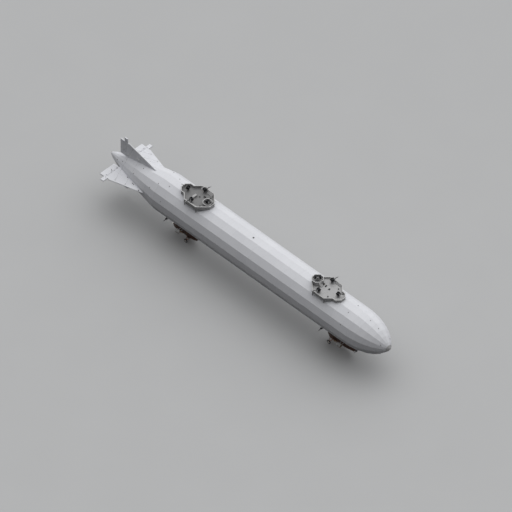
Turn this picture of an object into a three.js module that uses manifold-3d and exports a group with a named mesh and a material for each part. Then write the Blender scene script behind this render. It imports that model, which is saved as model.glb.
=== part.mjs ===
// Rigid airship, 1:10 scale model. Millimetres, +X to the nose, +Y to port, +Z up.
// The origin lies on the ground, under the middle of the length.
import * as THREE from 'three';
import { mergeVertices } from 'three/addons/utils/BufferGeometryUtils.js';
import Module from 'manifold-3d';

const wasm = await Module();
wasm.setup();

// Driving dimensions
const LENGTH = 9850;
const HULL_RADIUS = 537;
const HULL_SIDES = 16;
const HULL_WALL = 10;
const AXIS_Z = 1060;
const NOSE_LENGTH = 1270;
const TAIL_LENGTH = 1956;
const BAYS = ['fore_hull_bay', 'middle_hull_bay', 'aft_hull_bay'];
const SEAM = 0.3;
const RUNNING_GAP = 0.3;
const PIN_SIDES = 12;
// How far one solid reaches into the one it is joined to, and a cutting tool past what it cuts
const OVERLAP = 2;
const PAST = 1;

const NOSE_X = LENGTH / 2;
const TAIL_X = -LENGTH / 2;
const PARALLEL_FRONT = NOSE_X - NOSE_LENGTH;
const PARALLEL_REAR = TAIL_X + TAIL_LENGTH;
const HALF_SIDE = Math.PI / HULL_SIDES;
const HULL_FLAT = HULL_RADIUS * Math.cos(HALF_SIDE);
const HULL_BOTTOM = AXIS_Z - HULL_FLAT;
// A corner is cut by this share of the half width to make a square a regular octagon
const OCTAGON_CUT = 2 - Math.SQRT2;

// The ends of the hull are superellipses: how full they are, and how round
const NOSE_SHAPE = [2.5, 1.36];
const TAIL_SHAPE = [1.055, 1.474];
const END_RINGS = 8;

// Tail surfaces, given as distances forward of the trailing edge and out from the hull's axis
const FIN = {
  trailingX: -4583,
  thickness: 25,
  hinge: 157,
  tipFront: 300,
  rootFront: 1222,
  rootRadius: 470,
  tip: 732,
  slot: 6,
  surfaceRoot: 246,
  surfaceTip: 740,
  hornRear: 142,
  hornFront: 247,
  hornTip: 872,
  pin: 4,
  pinInset: 10,
  lug: 30,
  lugGap: 5,
  lugInset: 3,
  lugs: [300, 480, 660],
};

// Gun decks: an octagon with a round-cornered tub at one or both ends
const DECK = {
  halfLength: 455,
  halfWidth: 337,
  cut: 250,
  under: AXIS_Z + HULL_FLAT + SEAM,
  floor: 1622,
  wall: 18,
  tub: 180,
  tubX: 388,
  strutX: 200,
  strutY: 318,
  strut: 16,
  strutReach: 220,
  brace: 5.6,
  braceFoot: 180,
  gussets: [-330, 0, 330],
  gusset: 10,
  gussetRoot: 60,
  gussetTip: 230,
};
const DECKS = [
  { name: 'fore', x: 2707, rim: 1667, raised: true },
  { name: 'aft', x: -1818, rim: 1692, raised: false },
];
// The fore deck's stern tub is smaller and raised, with a ramp up to it through a gate in its wall
const RAISED = {
  x: -334, half: 150, floor: 1697, rim: 1752, rampEnd: -120, rampY: -35, rampWidth: 90, rampTop: 15, gate: 4,
};
// The aft deck's bow gun stands in a ring wall
const RING = { x: 295, radius: 120, wall: 14, rim: 1700 };

// Deck guns: x and y from the deck's middle, heading and elevation at rest in degrees
const GUNS = [
  { deck: 0, name: 'fore_deck_bow', x: 388, y: 0, heading: 20, raise: 10 },
  { deck: 0, name: 'fore_deck_port', x: -60, y: 240, heading: 75, raise: 5 },
  { deck: 0, name: 'fore_deck_starboard', x: -60, y: -240, heading: -110, raise: 5 },
  { deck: 0, name: 'fore_deck_stern', x: RAISED.x, y: 0, heading: -45, raise: 40, raised: true },
  { deck: 1, name: 'aft_deck_bow', x: RING.x, y: 0, heading: 10, raise: 5 },
  { deck: 1, name: 'aft_deck_port', x: -45, y: 240, heading: 75, raise: 5 },
  { deck: 1, name: 'aft_deck_starboard', x: -45, y: -225, heading: -100, raise: 5 },
  { deck: 1, name: 'aft_deck_stern', x: -388, y: 0, heading: -160, raise: 15 },
];
const GUN = {
  plateRadius: 40,
  plate: 8,
  column: 14,
  yokeBase: 47,
  yokeFloor: 8,
  trunnion: 105,
  cheekInside: 17,
  cheek: 6,
  cheekRear: -14,
  cheekAbove: 10,
  shieldX: 56,
  shieldHalf: 45,
  shieldLow: 72,
  shieldHigh: 142,
  shield: 4,
  slotHalf: 14,
  slotLow: 84,
  pin: 5,
  breechHalf: 12,
  breechRear: -45,
  breechFront: 28,
  barrel: 6,
  muzzle: 195,
  drum: 45,
  drumX: 0,
  drumWidth: 9,
  drumGap: 5,
  collar: 22,
  collarRadius: 9,
};
// The gun in the raised tub has larger drums, set back
const HEAVY_GUN = { ...GUN, drum: 54, drumX: -20, drumWidth: 60 };

// Light guns on pins: pivot, depression at rest, and how far the arm reaches back and its brace drops
const WAIST = { y: 462, z: 700, depression: 16, reach: 92, drop: 40 };
const LIGHT_GUNS = [
  { name: 'fore_port_waist_gun', x: 2950, side: 1, bay: 'fore_hull_bay' },
  { name: 'fore_starboard_waist_gun', x: 2950, side: -1, bay: 'fore_hull_bay' },
  { name: 'aft_port_waist_gun', x: -2530, side: 1, bay: 'aft_hull_bay' },
  { name: 'aft_starboard_waist_gun', x: -2530, side: -1, bay: 'aft_hull_bay' },
];
const BOW_GUN = {
  name: 'fore_gondola_bow_gun', x: 3758, z: 152, heading: -90, depression: 10, reach: 72, drop: 24,
};
const LIGHT_GUN = {
  arm: 8,
  armThick: 12,
  armEnd: 12,
  brace: 4,
  pin: 4,
  pinTop: 30,
  socket: 11,
  socketTop: 22,
  axis: 25,
  receiverHalf: 8,
  receiverRear: -24,
  receiverFront: 30,
  barrel: 5,
  muzzle: 105,
  collar: 13,
  collarRadius: 7,
  drum: 18,
  drumX: 4,
  drumTop: 42,
};

// Gondolas: x of the stern at the roof and at the keel, of the shoulder where the bow starts to
// narrow, and of the stem at the keel and at the roof; then of the rear posts, wheels, propellers,
// engines and door hinge, and of each window's rear edge
const GONDOLAS = [
  {
    name: 'fore', sternTop: 2780, sternFoot: 2885, shoulder: 3302, stemFoot: 3685, stemTop: 3802,
    rearPost: 2957, wheel: 2952, propeller: 3239, engine: 3339, doorHinge: 3120,
    windows: [2936, 3180, 3262, 3344, 3426],
  },
  {
    name: 'aft', sternTop: -2700, sternFoot: -2595, shoulder: -2043, stemFoot: -1861, stemTop: -1748,
    rearPost: -2463, wheel: -2108, propeller: -2243, engine: -2343, doorHinge: -2060,
    windows: [-2520, -2438, -2356, -2274, -1995],
  },
];
const CABIN = {
  halfWidth: 100,
  bilge: 26,
  keel: 110,
  roof: 385,
  roofPlate: 8,
  wall: 6,
  stemHalf: 4,
  sternHalf: 62,
  sternRun: 60,
  knee: 200,
  kneeReach: 75,
  windowLow: 262,
  windowHigh: 345,
  window: 62,
  trunkX: -60,
  trunkHalfLength: 45,
  trunkHalfWidth: 30,
};
const POST = { size: 12, y: 72, count: 4, front: 60, pad: 8, padHalf: 14, padEnd: 30 };
const DOOR = {
  width: 84,
  low: 140,
  high: 345,
  gap: 2,
  frame: 16,
  lightTop: 14,
  pin: 3,
  pinOut: 6.6,
  pinEnd: 8,
  knuckle: 6,
  knuckleLength: 26,
  knuckleInset: 20,
  leaf: 18,
  lug: 10,
  lugGap: 4,
};
const WHEEL = {
  radius: 55, width: 26, y: 188, axle: 7, hub: 14, rim: 34, web: 5, bead: 4, beadIn: 3, shoulder: 8,
};
const LEG = {
  rod: 7, spread: 60, topY: 78, foot: 5, footEnd: 16, footHalf: 14, collar: 8, collarRadius: 13, gap: 4,
};
const ENGINE = {
  y: 212, z: 248, half: 38, corner: 19, length: 125, shaft: 6, bearing: 19, bearingOut: 3, arm: 9,
  armX: 37.5, armDrop: 10,
};
const PROPELLER = {
  radius: 105, hub: 14, hubLength: 26, thickness: 5, pitch: 28, z: 278, turn: 34,
  blade: [[8, 0], [12, 45], [12, 80], [6, 105]],
};

const airship = new THREE.Group();

const MATERIALS = {
  envelope: new THREE.MeshStandardMaterial({ color: 0xdedfe4, roughness: 0.6, metalness: 0.0 }),
  deck: new THREE.MeshStandardMaterial({ color: 0xa8a8a8, roughness: 0.65, metalness: 0.0 }),
  gondola: new THREE.MeshStandardMaterial({ color: 0x543227, roughness: 0.6, metalness: 0.0 }),
  gun: new THREE.MeshStandardMaterial({ color: 0x262626, roughness: 0.5, metalness: 0.6 }),
  steel: new THREE.MeshStandardMaterial({ color: 0x8a8a8a, roughness: 0.5, metalness: 0.5 }),
  wood: new THREE.MeshStandardMaterial({ color: 0xb48b63, roughness: 0.5, metalness: 0.0 }),
  tyre: new THREE.MeshStandardMaterial({ color: 0x1f1f1f, roughness: 0.9, metalness: 0.0 }),
};

// Solid helpers
function solid(geometry) {
  const bare = geometry.clone();
  bare.deleteAttribute('normal');
  bare.deleteAttribute('uv');
  const merged = mergeVertices(bare, 1e-4);
  const mesh = new wasm.Mesh({
    numProp: 3,
    vertProperties: Float32Array.from(merged.attributes.position.array),
    triVerts: Uint32Array.from(merged.index.array),
  });
  return new wasm.Manifold(mesh);
}

function surface(body) {
  const mesh = body.getMesh();
  const geometry = new THREE.BufferGeometry();
  geometry.setAttribute('position', new THREE.BufferAttribute(mesh.vertProperties, 3));
  geometry.setIndex(new THREE.BufferAttribute(mesh.triVerts, 1));
  geometry.computeVertexNormals();
  return geometry;
}

function joined(bodies) {
  return bodies.reduce((whole, body) => whole.add(body));
}

function cut(body, tools) {
  return tools.reduce((rest, tool) => rest.subtract(tool), body);
}

// A box between two corners
function block(low, high) {
  const size = high.map((value, i) => value - low[i]);
  const geometry = new THREE.BoxGeometry(size[0], size[1], size[2]);
  geometry.translate(low[0] + size[0] / 2, low[1] + size[1] / 2, low[2] + size[2] / 2);
  return solid(geometry);
}

// A rod between two points
function rod(from, to, radius, sides = 8) {
  const start = new THREE.Vector3(...from);
  const end = new THREE.Vector3(...to);
  const along = end.clone().sub(start);
  const geometry = new THREE.CylinderGeometry(radius, radius, along.length(), sides);
  const turn = new THREE.Quaternion().setFromUnitVectors(
    new THREE.Vector3(0, 1, 0), along.clone().normalize(),
  );
  geometry.applyQuaternion(turn);
  const middle = start.add(end).multiplyScalar(0.5);
  geometry.translate(middle.x, middle.y, middle.z);
  return solid(geometry);
}

function extruded(points, depth) {
  const shape = new THREE.Shape(points.map(([a, b]) => new THREE.Vector2(a, b)));
  return new THREE.ExtrudeGeometry(shape, { depth, bevelEnabled: false });
}

// An outline in plan, from one height to another
function slab(points, low, high) {
  const geometry = extruded(points, high - low);
  geometry.translate(0, 0, low);
  return solid(geometry);
}

// An outline of x and z, as wide as given, about the middle plane
function profilePlate(points, width) {
  const geometry = extruded(points, width);
  geometry.rotateX(Math.PI / 2);
  geometry.translate(0, width / 2, 0);
  return solid(geometry);
}

// An outline of y and z, from one x to another
function section(points, rear, front) {
  const geometry = extruded(points, front - rear);
  geometry.rotateX(Math.PI / 2);
  geometry.rotateZ(Math.PI / 2);
  geometry.translate(rear, 0, 0);
  return solid(geometry);
}

// A profile of [radius, x] points turned about the hull's axis, with a flat side on top. The
// outside is listed towards the nose, and the inside towards the tail
function turnedHull(profile) {
  const points = profile.map(([radius, x]) => new THREE.Vector2(radius, x));
  const geometry = new THREE.LatheGeometry(points, HULL_SIDES, HALF_SIDE);
  geometry.rotateZ(-Math.PI / 2);
  geometry.translate(0, 0, AXIS_Z);
  return geometry;
}

function octagonOutline(halfLength, halfWidth, corner) {
  const quarter = [[halfLength, halfWidth - corner], [halfLength - corner, halfWidth]];
  const mirrored = quarter.map(([x, y]) => [-x, y]).reverse();
  const port = [...quarter, ...mirrored];
  return [...port, ...port.map(([x, y]) => [-x, -y])];
}

function regularOctagon(half, x = 0) {
  return octagonOutline(half, half, half * OCTAGON_CUT).map(([a, b]) => [a + x, b]);
}

function place(name, body, material, position = [0, 0, 0], turn = [0, 0, 0], parent = airship) {
  const geometry = body.isBufferGeometry ? body : surface(body);
  const mesh = new THREE.Mesh(geometry, material);
  mesh.name = name;
  mesh.position.set(...position);
  mesh.rotation.set(...turn);
  parent.add(mesh);
  return mesh;
}

// Light guns: an arm with a pin, pointing along +x from what carries it, and the gun on the pin
function gunArm({ reach, drop }) {
  const gun = LIGHT_GUN;
  const middle = -gun.armThick / 2;
  return joined([
    block([-reach, -gun.arm, -gun.armThick], [gun.armEnd, gun.arm, 0]),
    rod([0, 0, -OVERLAP], [0, 0, gun.pinTop], gun.pin, PIN_SIDES),
    rod([0, 0, middle], [-reach, 0, middle - drop], gun.brace),
  ]);
}

function lightGunBody(depression) {
  const gun = LIGHT_GUN;
  const half = gun.receiverHalf;
  const tipped = joined([
    block([gun.receiverRear, -half, -half], [gun.receiverFront, half, half]),
    rod([0, 0, 0], [gun.muzzle, 0, 0], gun.barrel),
    rod([gun.muzzle - gun.collar, 0, 0], [gun.muzzle, 0, 0], gun.collarRadius),
  ]).rotate([0, depression, 0]).translate([0, 0, gun.axis]);
  const socket = rod([0, 0, SEAM], [0, 0, gun.socketTop], gun.socket, PIN_SIDES);
  const drum = rod([gun.drumX, 0, gun.axis + OVERLAP], [gun.drumX, 0, gun.drumTop], gun.drum, PIN_SIDES);
  const bore = rod([0, 0, -PAST], [0, 0, gun.pinTop + PAST], gun.pin + RUNNING_GAP, PIN_SIDES);
  return joined([tipped, socket, drum]).subtract(bore);
}

function addLightGuns() {
  const waist = lightGunBody(WAIST.depression);
  for (const row of LIGHT_GUNS) {
    const heading = THREE.MathUtils.degToRad(90 * row.side);
    place(row.name, waist, MATERIALS.gun, [row.x, row.side * WAIST.y, WAIST.z], [0, 0, heading]);
  }
  const heading = THREE.MathUtils.degToRad(BOW_GUN.heading);
  const bow = lightGunBody(BOW_GUN.depression);
  place(BOW_GUN.name, bow, MATERIALS.gun, [BOW_GUN.x, 0, BOW_GUN.z], [0, 0, heading]);
}

// Hull: rings are closer together towards the tips
function endRadius(share, fullness, roundness) {
  return HULL_RADIUS * Math.max(0, 1 - share ** fullness) ** (1 / roundness);
}

function endProfile(rootX, tipX, shape, offset) {
  const rings = [];
  for (let ring = 0; ring <= END_RINGS; ring += 1) {
    const share = Math.sin((ring / END_RINGS) * (Math.PI / 2));
    const radius = ring === END_RINGS ? 0 : endRadius(share, ...shape) + offset;
    const reach = ring === END_RINGS ? offset : 0;
    rings.push([radius, rootX + (tipX - rootX) * share + Math.sign(tipX) * reach]);
  }
  return rings;
}

const WALL_AT_CORNER = HULL_WALL / Math.cos(HALF_SIDE);
const THICK_TIP = 3;

// The inner rings stop where the shell has closed up, and the last one lies on the axis
function shellEnd(rootX, tipX, shape) {
  const outer = endProfile(rootX, tipX, shape, 0);
  const inner = outer
    .filter(([radius]) => radius > THICK_TIP * WALL_AT_CORNER)
    .map(([radius, x]) => [radius - WALL_AT_CORNER, x]);
  const [lastRadius, lastX] = inner[inner.length - 1];
  inner.push([0, lastX + (Math.sign(tipX) * lastRadius) / 2]);
  return [...outer.reverse(), ...inner];
}

// The waist guns' arms reach halfway into the bay's wall
function waistArms(bay) {
  const rows = LIGHT_GUNS.filter((row) => row.bay === bay);
  const core = rod([TAIL_X, 0, AXIS_Z], [NOSE_X, 0, AXIS_Z], HULL_RADIUS - HULL_WALL, HULL_SIDES * 2);
  return rows.map((row) => gunArm(WAIST)
    .rotate([0, 0, 90 * row.side])
    .translate([row.x, row.side * WAIST.y, WAIST.z])
    .subtract(core));
}

function addHull() {
  const nose = shellEnd(PARALLEL_FRONT + SEAM, NOSE_X, NOSE_SHAPE).reverse();
  place('nose_cone', turnedHull(nose), MATERIALS.envelope);
  const bay = (PARALLEL_FRONT - PARALLEL_REAR) / BAYS.length;
  BAYS.forEach((name, index) => {
    const front = PARALLEL_FRONT - index * bay;
    const rear = front - bay + SEAM;
    const inside = HULL_RADIUS - WALL_AT_CORNER;
    const loop = [[HULL_RADIUS, rear], [HULL_RADIUS, front], [inside, front], [inside, rear]];
    const shell = solid(turnedHull([...loop, loop[0]]));
    place(name, joined([shell, ...waistArms(name)]), MATERIALS.envelope);
  });
  const tail = shellEnd(PARALLEL_REAR, TAIL_X, TAIL_SHAPE);
  place('tail_cone', turnedHull(tail), MATERIALS.envelope);
}

// The whole hull as a solid, a seam's gap larger, to cut what rests on it
const NOSE_OUTLINE = endProfile(PARALLEL_FRONT, NOSE_X, NOSE_SHAPE, SEAM);
const TAIL_OUTLINE = endProfile(PARALLEL_REAR, TAIL_X, TAIL_SHAPE, SEAM).reverse();
const HULL_CUTTER = solid(turnedHull([...TAIL_OUTLINE, ...NOSE_OUTLINE]));

// Tail: one fixed fin and one moving surface on each of four sides, drawn as the upper pair
// with x forward of the trailing edge and z out from the axis
function finBody() {
  const half = FIN.thickness / 2;
  const rear = FIN.hinge + half + FIN.slot;
  const outline = [
    [rear, 0], [FIN.rootFront, 0], [FIN.rootFront, FIN.rootRadius],
    [FIN.tipFront, FIN.tip], [rear, FIN.tip],
  ];
  const lugHalf = half - FIN.lugInset;
  const lugs = FIN.lugs.map((height) => {
    const low = height - FIN.lug / 2;
    const high = height + FIN.lug / 2;
    return joined([
      block([FIN.hinge, -lugHalf, low], [rear + OVERLAP, lugHalf, high]),
      rod([FIN.hinge, 0, low], [FIN.hinge, 0, high], lugHalf),
    ]);
  });
  const pin = rod(
    [FIN.hinge, 0, FIN.surfaceRoot + FIN.pinInset],
    [FIN.hinge, 0, FIN.surfaceTip - 2 * FIN.pinInset], FIN.pin, PIN_SIDES,
  );
  return joined([profilePlate(outline, FIN.thickness), ...lugs, pin]);
}

function controlBody() {
  const half = FIN.thickness / 2;
  const root = [FIN.hinge, 0, FIN.surfaceRoot];
  const nose = rod(root, [FIN.hinge, 0, FIN.surfaceTip], half, PIN_SIDES);
  const panel = block([0, -half, FIN.surfaceRoot], [FIN.hinge, half, FIN.surfaceTip]);
  const horn = block(
    [FIN.hornRear, -half, FIN.surfaceTip - OVERLAP], [FIN.hornFront, half, FIN.hornTip],
  );
  const bore = rod(
    [FIN.hinge, 0, FIN.surfaceRoot - PAST], [FIN.hinge, 0, FIN.surfaceTip - FIN.pinInset],
    FIN.pin + RUNNING_GAP, PIN_SIDES,
  );
  const slots = FIN.lugs.map((height) => block(
    [FIN.hinge - half - FIN.slot, -half - PAST, height - FIN.lug / 2 - FIN.lugGap],
    [FIN.hinge + half + PAST, half + PAST, height + FIN.lug / 2 + FIN.lugGap],
  ));
  return cut(joined([nose, panel, horn]), [bore, ...slots]);
}

function addTail() {
  const sides = [
    ['upper_fin', 'upper_rudder', 0], ['port_fin', 'port_elevator', -90],
    ['lower_fin', 'lower_rudder', 180], ['starboard_fin', 'starboard_elevator', 90],
  ];
  const fin = finBody();
  const control = controlBody();
  for (const [finName, controlName, angle] of sides) {
    const fixed = fin.rotate([angle, 0, 0]).translate([FIN.trailingX, 0, AXIS_Z]);
    const moving = control.rotate([angle, 0, 0]).translate([FIN.trailingX, 0, AXIS_Z]);
    place(finName, fixed.subtract(HULL_CUTTER), MATERIALS.envelope);
    place(controlName, moving, MATERIALS.envelope);
  }
}

// Decks
function deckOutline(inset, tubs) {
  const corner = DECK.cut - inset * OCTAGON_CUT;
  const deck = octagonOutline(DECK.halfLength - inset, DECK.halfWidth - inset, corner);
  return [deck, ...tubs.map(([x, tubHalf]) => regularOctagon(tubHalf - inset, x))];
}

function outlineSlab(inset, tubs, low, high) {
  return joined(deckOutline(inset, tubs).map((points) => slab(points, low, high)));
}

// Middle and half width of each tub
function deckTubs(deck) {
  const full = DECK.tub;
  return deck.raised ? [[DECK.tubX, full], [RAISED.x, RAISED.half]] : [[-DECK.tubX, full]];
}

// What stands under one side of a deck: edge struts with a brace each, and gussets
function deckSupports(side) {
  const half = DECK.strut / 2;
  const y = side * DECK.strutY;
  const struts = [-DECK.strutX, DECK.strutX].flatMap((x) => [
    block(
      [x - half, y - half, DECK.under - DECK.strutReach], [x + half, y + half, DECK.under + OVERLAP],
    ),
    rod([x, y, DECK.under - 30], [x, side * DECK.braceFoot, DECK.under - 60], DECK.brace),
  ]);
  const root = side * DECK.gussetRoot;
  const top = DECK.under + OVERLAP;
  const outline = [[root, top], [root, DECK.under - 60], [side * DECK.gussetTip, top]];
  const gusset = section(side > 0 ? outline : outline.reverse(), -DECK.gusset / 2, DECK.gusset / 2);
  return [...struts, ...DECK.gussets.map((x) => gusset.translate([x, 0, 0]))];
}

function raisedTub() {
  const low = DECK.floor - OVERLAP;
  const start = RAISED.x + RAISED.half - DECK.wall - RAISED.rampTop;
  const ramp = [
    [RAISED.x, low], [RAISED.rampEnd, low], [RAISED.rampEnd, DECK.floor], [start, RAISED.floor],
    [RAISED.x, RAISED.floor],
  ];
  const tub = regularOctagon(RAISED.half - DECK.wall - SEAM, RAISED.x);
  const walk = profilePlate(ramp, RAISED.rampWidth).translate([0, RAISED.rampY, 0]);
  return [slab(tub, low, RAISED.floor), walk];
}

function deckFloor(deck) {
  const pieces = [
    outlineSlab(0, deckTubs(deck), DECK.under, DECK.floor),
    ...deckSupports(-1), ...deckSupports(1), ...(deck.raised ? raisedTub() : []),
  ];
  return joined(pieces).subtract(HULL_CUTTER.translate([-deck.x, 0, 0]));
}

function deckBulwark(deck) {
  const low = DECK.floor + SEAM;
  const under = low - PAST;
  const tubs = deckTubs(deck);
  const outer = outlineSlab(0, tubs, low, deck.rim);
  const wall = outer.subtract(outlineSlab(DECK.wall, tubs, under, deck.rim + PAST));
  if (!deck.raised) {
    return wall;
  }
  const high = RAISED.rim + PAST;
  const raisedOuter = slab(regularOctagon(RAISED.half, RAISED.x), low, RAISED.rim);
  const raisedInner = slab(regularOctagon(RAISED.half - DECK.wall, RAISED.x), under, high);
  const gateHalf = RAISED.rampWidth / 2 + RAISED.gate;
  const gate = block(
    [RAISED.x, RAISED.rampY - gateHalf, under], [RAISED.rampEnd, RAISED.rampY + gateHalf, high],
  );
  return cut(wall.add(raisedOuter), [raisedInner, gate]);
}

function gunRing() {
  const low = DECK.floor + SEAM;
  const inside = slab(regularOctagon(RING.radius - RING.wall), low - PAST, RING.rim + PAST);
  return slab(regularOctagon(RING.radius), low, RING.rim).subtract(inside);
}

function addDecks() {
  for (const deck of DECKS) {
    place(`${deck.name}_deck_floor`, deckFloor(deck), MATERIALS.deck, [deck.x, 0, 0]);
    place(`${deck.name}_deck_bulwark`, deckBulwark(deck), MATERIALS.deck, [deck.x, 0, 0]);
    if (!deck.raised) {
      place(`${deck.name}_deck_gun_ring`, gunRing(), MATERIALS.deck, [deck.x + RING.x, 0, 0]);
    }
  }
}

// Deck guns: a mount that turns on the deck, and a gun that tips in it
function mountBody() {
  const outside = GUN.cheekInside + GUN.cheek;
  const shieldFront = GUN.shieldX + GUN.shield;
  const pieces = [
    rod([0, 0, 0], [0, 0, GUN.plate], GUN.plateRadius, PIN_SIDES),
    rod([0, 0, 0], [0, 0, GUN.yokeBase + OVERLAP], GUN.column),
    block([GUN.cheekRear, -outside, GUN.yokeBase], [GUN.shieldX, outside, GUN.yokeBase + GUN.yokeFloor]),
    block([GUN.shieldX, -GUN.shieldHalf, GUN.shieldLow], [shieldFront, GUN.shieldHalf, GUN.shieldHigh]),
  ];
  const cheek = block(
    [GUN.cheekRear, GUN.cheekInside, GUN.yokeBase],
    [GUN.shieldX + OVERLAP, outside, GUN.trunnion + GUN.cheekAbove],
  );
  pieces.push(cheek, cheek.mirror([0, 1, 0]));
  const slot = block(
    [GUN.shieldX - PAST, -GUN.slotHalf, GUN.slotLow],
    [shieldFront + PAST, GUN.slotHalf, GUN.shieldHigh + PAST],
  );
  const bore = rod(
    [0, -GUN.shieldHalf, GUN.trunnion], [0, GUN.shieldHalf, GUN.trunnion],
    GUN.pin + RUNNING_GAP, PIN_SIDES,
  );
  return cut(joined(pieces), [slot, bore]);
}

// The gun about its trunnion, pointing along +x
function gunBody({ drum: radius, drumX, drumWidth }) {
  const half = GUN.breechHalf;
  const drumInside = GUN.cheekInside + GUN.cheek + GUN.drumGap;
  const drumOutside = drumInside + drumWidth;
  const drum = rod([drumX, drumInside, 0], [drumX, drumOutside, 0], radius, PIN_SIDES);
  return joined([
    block([GUN.breechRear, -half, -half], [GUN.breechFront, half, half]),
    rod([0, 0, 0], [GUN.muzzle, 0, 0], GUN.barrel),
    rod([GUN.muzzle - GUN.collar, 0, 0], [GUN.muzzle, 0, 0], GUN.collarRadius),
    rod([0, -drumOutside, 0], [0, drumOutside, 0], GUN.pin, PIN_SIDES),
    drum,
    drum.mirror([0, 1, 0]),
  ]);
}

function addGuns() {
  const mount = mountBody();
  const gun = gunBody(GUN);
  const heavyGun = gunBody(HEAVY_GUN);
  for (const row of GUNS) {
    const deck = DECKS[row.deck];
    const floor = row.raised ? RAISED.floor : DECK.floor;
    const base = new THREE.Group();
    base.position.set(deck.x + row.x, row.y, floor + SEAM);
    base.rotation.z = THREE.MathUtils.degToRad(row.heading);
    airship.add(base);
    place(`${row.name}_gun_mount`, mount, MATERIALS.steel, [0, 0, 0], [0, 0, 0], base);
    const tip = [0, -THREE.MathUtils.degToRad(row.raise), 0];
    place(`${row.name}_gun`, row.raised ? heavyGun : gun, MATERIALS.gun, [0, 0, GUN.trunnion], tip, base);
  }
}

// Gondolas: side view, plan and cross-section crossed with each other give the boat shape. The
// stern rises from the keel to a knee, and steeper from there to the roof
function cabinSolid(row, inset, low, high) {
  const depth = CABIN.roof - CABIN.keel;
  const knee = row.sternFoot - CABIN.kneeReach;
  const lowSlope = CABIN.kneeReach / (CABIN.knee - CABIN.keel);
  const highSlope = (knee - row.sternTop) / (CABIN.roof - CABIN.knee);
  const lean = inset * Math.hypot(1, lowSlope);
  const rake = (row.stemTop - row.stemFoot) / depth;
  const keel = CABIN.keel + inset;
  const roof = CABIN.roof + PAST;
  const side = profilePlate([
    [row.sternTop - highSlope * PAST + inset, roof], [knee + lean, CABIN.knee],
    [row.sternFoot - lowSlope * inset + lean, keel],
    [row.stemFoot + rake * inset - 2 * inset, keel], [row.stemTop + rake - 2 * inset, roof],
  ], 4 * CABIN.halfWidth);
  const half = CABIN.halfWidth - inset;
  const sternHalf = CABIN.sternHalf - inset;
  const stern = row.sternTop - CABIN.stemHalf;
  const widest = row.sternFoot + CABIN.sternRun;
  const stem = row.stemTop + CABIN.stemHalf - 3 * inset;
  const plan = slab([
    [stern, -sternHalf], [widest, -half], [row.shoulder, -half], [stem, -CABIN.stemHalf],
    [stem, CABIN.stemHalf], [row.shoulder, half], [widest, half], [stern, sternHalf],
  ], low, high);
  const cross = section([
    [-half, roof], [-half, keel + CABIN.bilge], [-half + CABIN.bilge, keel],
    [half - CABIN.bilge, keel], [half, keel + CABIN.bilge], [half, roof],
  ], row.sternTop - CABIN.halfWidth, row.stemTop + CABIN.halfWidth);
  return side.intersect(plan).intersect(cross);
}

const HINGE_Y = -CABIN.halfWidth - DOOR.pinOut;

// The doorway's lugs and pin, outside the starboard wall
function doorHanging(row) {
  const lugs = [DOOR.low - DOOR.lug - DOOR.lugGap, DOOR.high + DOOR.lugGap].map((low) => block(
    [row.doorHinge - DOOR.knuckle, HINGE_Y - DOOR.knuckle, low],
    [row.doorHinge + DOOR.knuckle, -CABIN.halfWidth + OVERLAP, low + DOOR.lug],
  ));
  const pin = rod(
    [row.doorHinge, HINGE_Y, DOOR.low - DOOR.pinEnd], [row.doorHinge, HINGE_Y, DOOR.high + DOOR.pinEnd],
    DOOR.pin, PIN_SIDES,
  );
  return [...lugs, pin];
}

function cabinBody(row) {
  const top = CABIN.roof - CABIN.roofPlate - SEAM;
  const outer = cabinSolid(row, 0, CABIN.keel - PAST, top);
  const inner = cabinSolid(row, CABIN.wall, CABIN.keel - PAST, CABIN.roof + PAST);
  const middle = 10;
  const windows = row.windows.flatMap((x) => [
    block([x, middle, CABIN.windowLow], [x + CABIN.window, 2 * CABIN.halfWidth, CABIN.windowHigh]),
    block([x, -2 * CABIN.halfWidth, CABIN.windowLow], [x + CABIN.window, -middle, CABIN.windowHigh]),
  ]);
  const doorway = block(
    [row.doorHinge - DOOR.width - DOOR.gap, -CABIN.halfWidth - PAST, DOOR.low - DOOR.gap],
    [row.doorHinge + DOOR.gap, -CABIN.halfWidth + 2 * CABIN.wall, DOOR.high + DOOR.gap],
  );
  const shell = joined([cut(outer, [inner, ...windows, doorway]), ...doorHanging(row)]);
  const carriesGun = BOW_GUN.name.startsWith(row.name);
  return carriesGun ? shell.add(gunArm(BOW_GUN).translate([BOW_GUN.x, 0, BOW_GUN.z])) : shell;
}

// The roof with the posts and the access trunk that hang the gondola from the hull
function roofBody(row) {
  const half = POST.size / 2;
  const rear = row.rearPost;
  const front = row.shoulder + POST.front;
  const hullTop = HULL_BOTTOM - SEAM;
  const padLow = hullTop - POST.pad;
  const low = CABIN.roof - OVERLAP;
  const pieces = [cabinSolid(row, 0, CABIN.roof - CABIN.roofPlate, CABIN.roof)];
  for (const y of [-POST.y, POST.y]) {
    for (let index = 0; index < POST.count; index += 1) {
      const x = rear + ((front - rear) * index) / (POST.count - 1);
      pieces.push(block([x - half, y - half, low], [x + half, y + half, padLow + OVERLAP]));
    }
    pieces.push(block(
      [rear - POST.padEnd, y - POST.padHalf, padLow], [front + POST.padEnd, y + POST.padHalf, hullTop],
    ));
  }
  const trunkX = (rear + front) / 2 + CABIN.trunkX;
  pieces.push(block(
    [trunkX - CABIN.trunkHalfLength, -CABIN.trunkHalfWidth, low],
    [trunkX + CABIN.trunkHalfLength, CABIN.trunkHalfWidth, hullTop],
  ));
  return joined(pieces);
}

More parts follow.
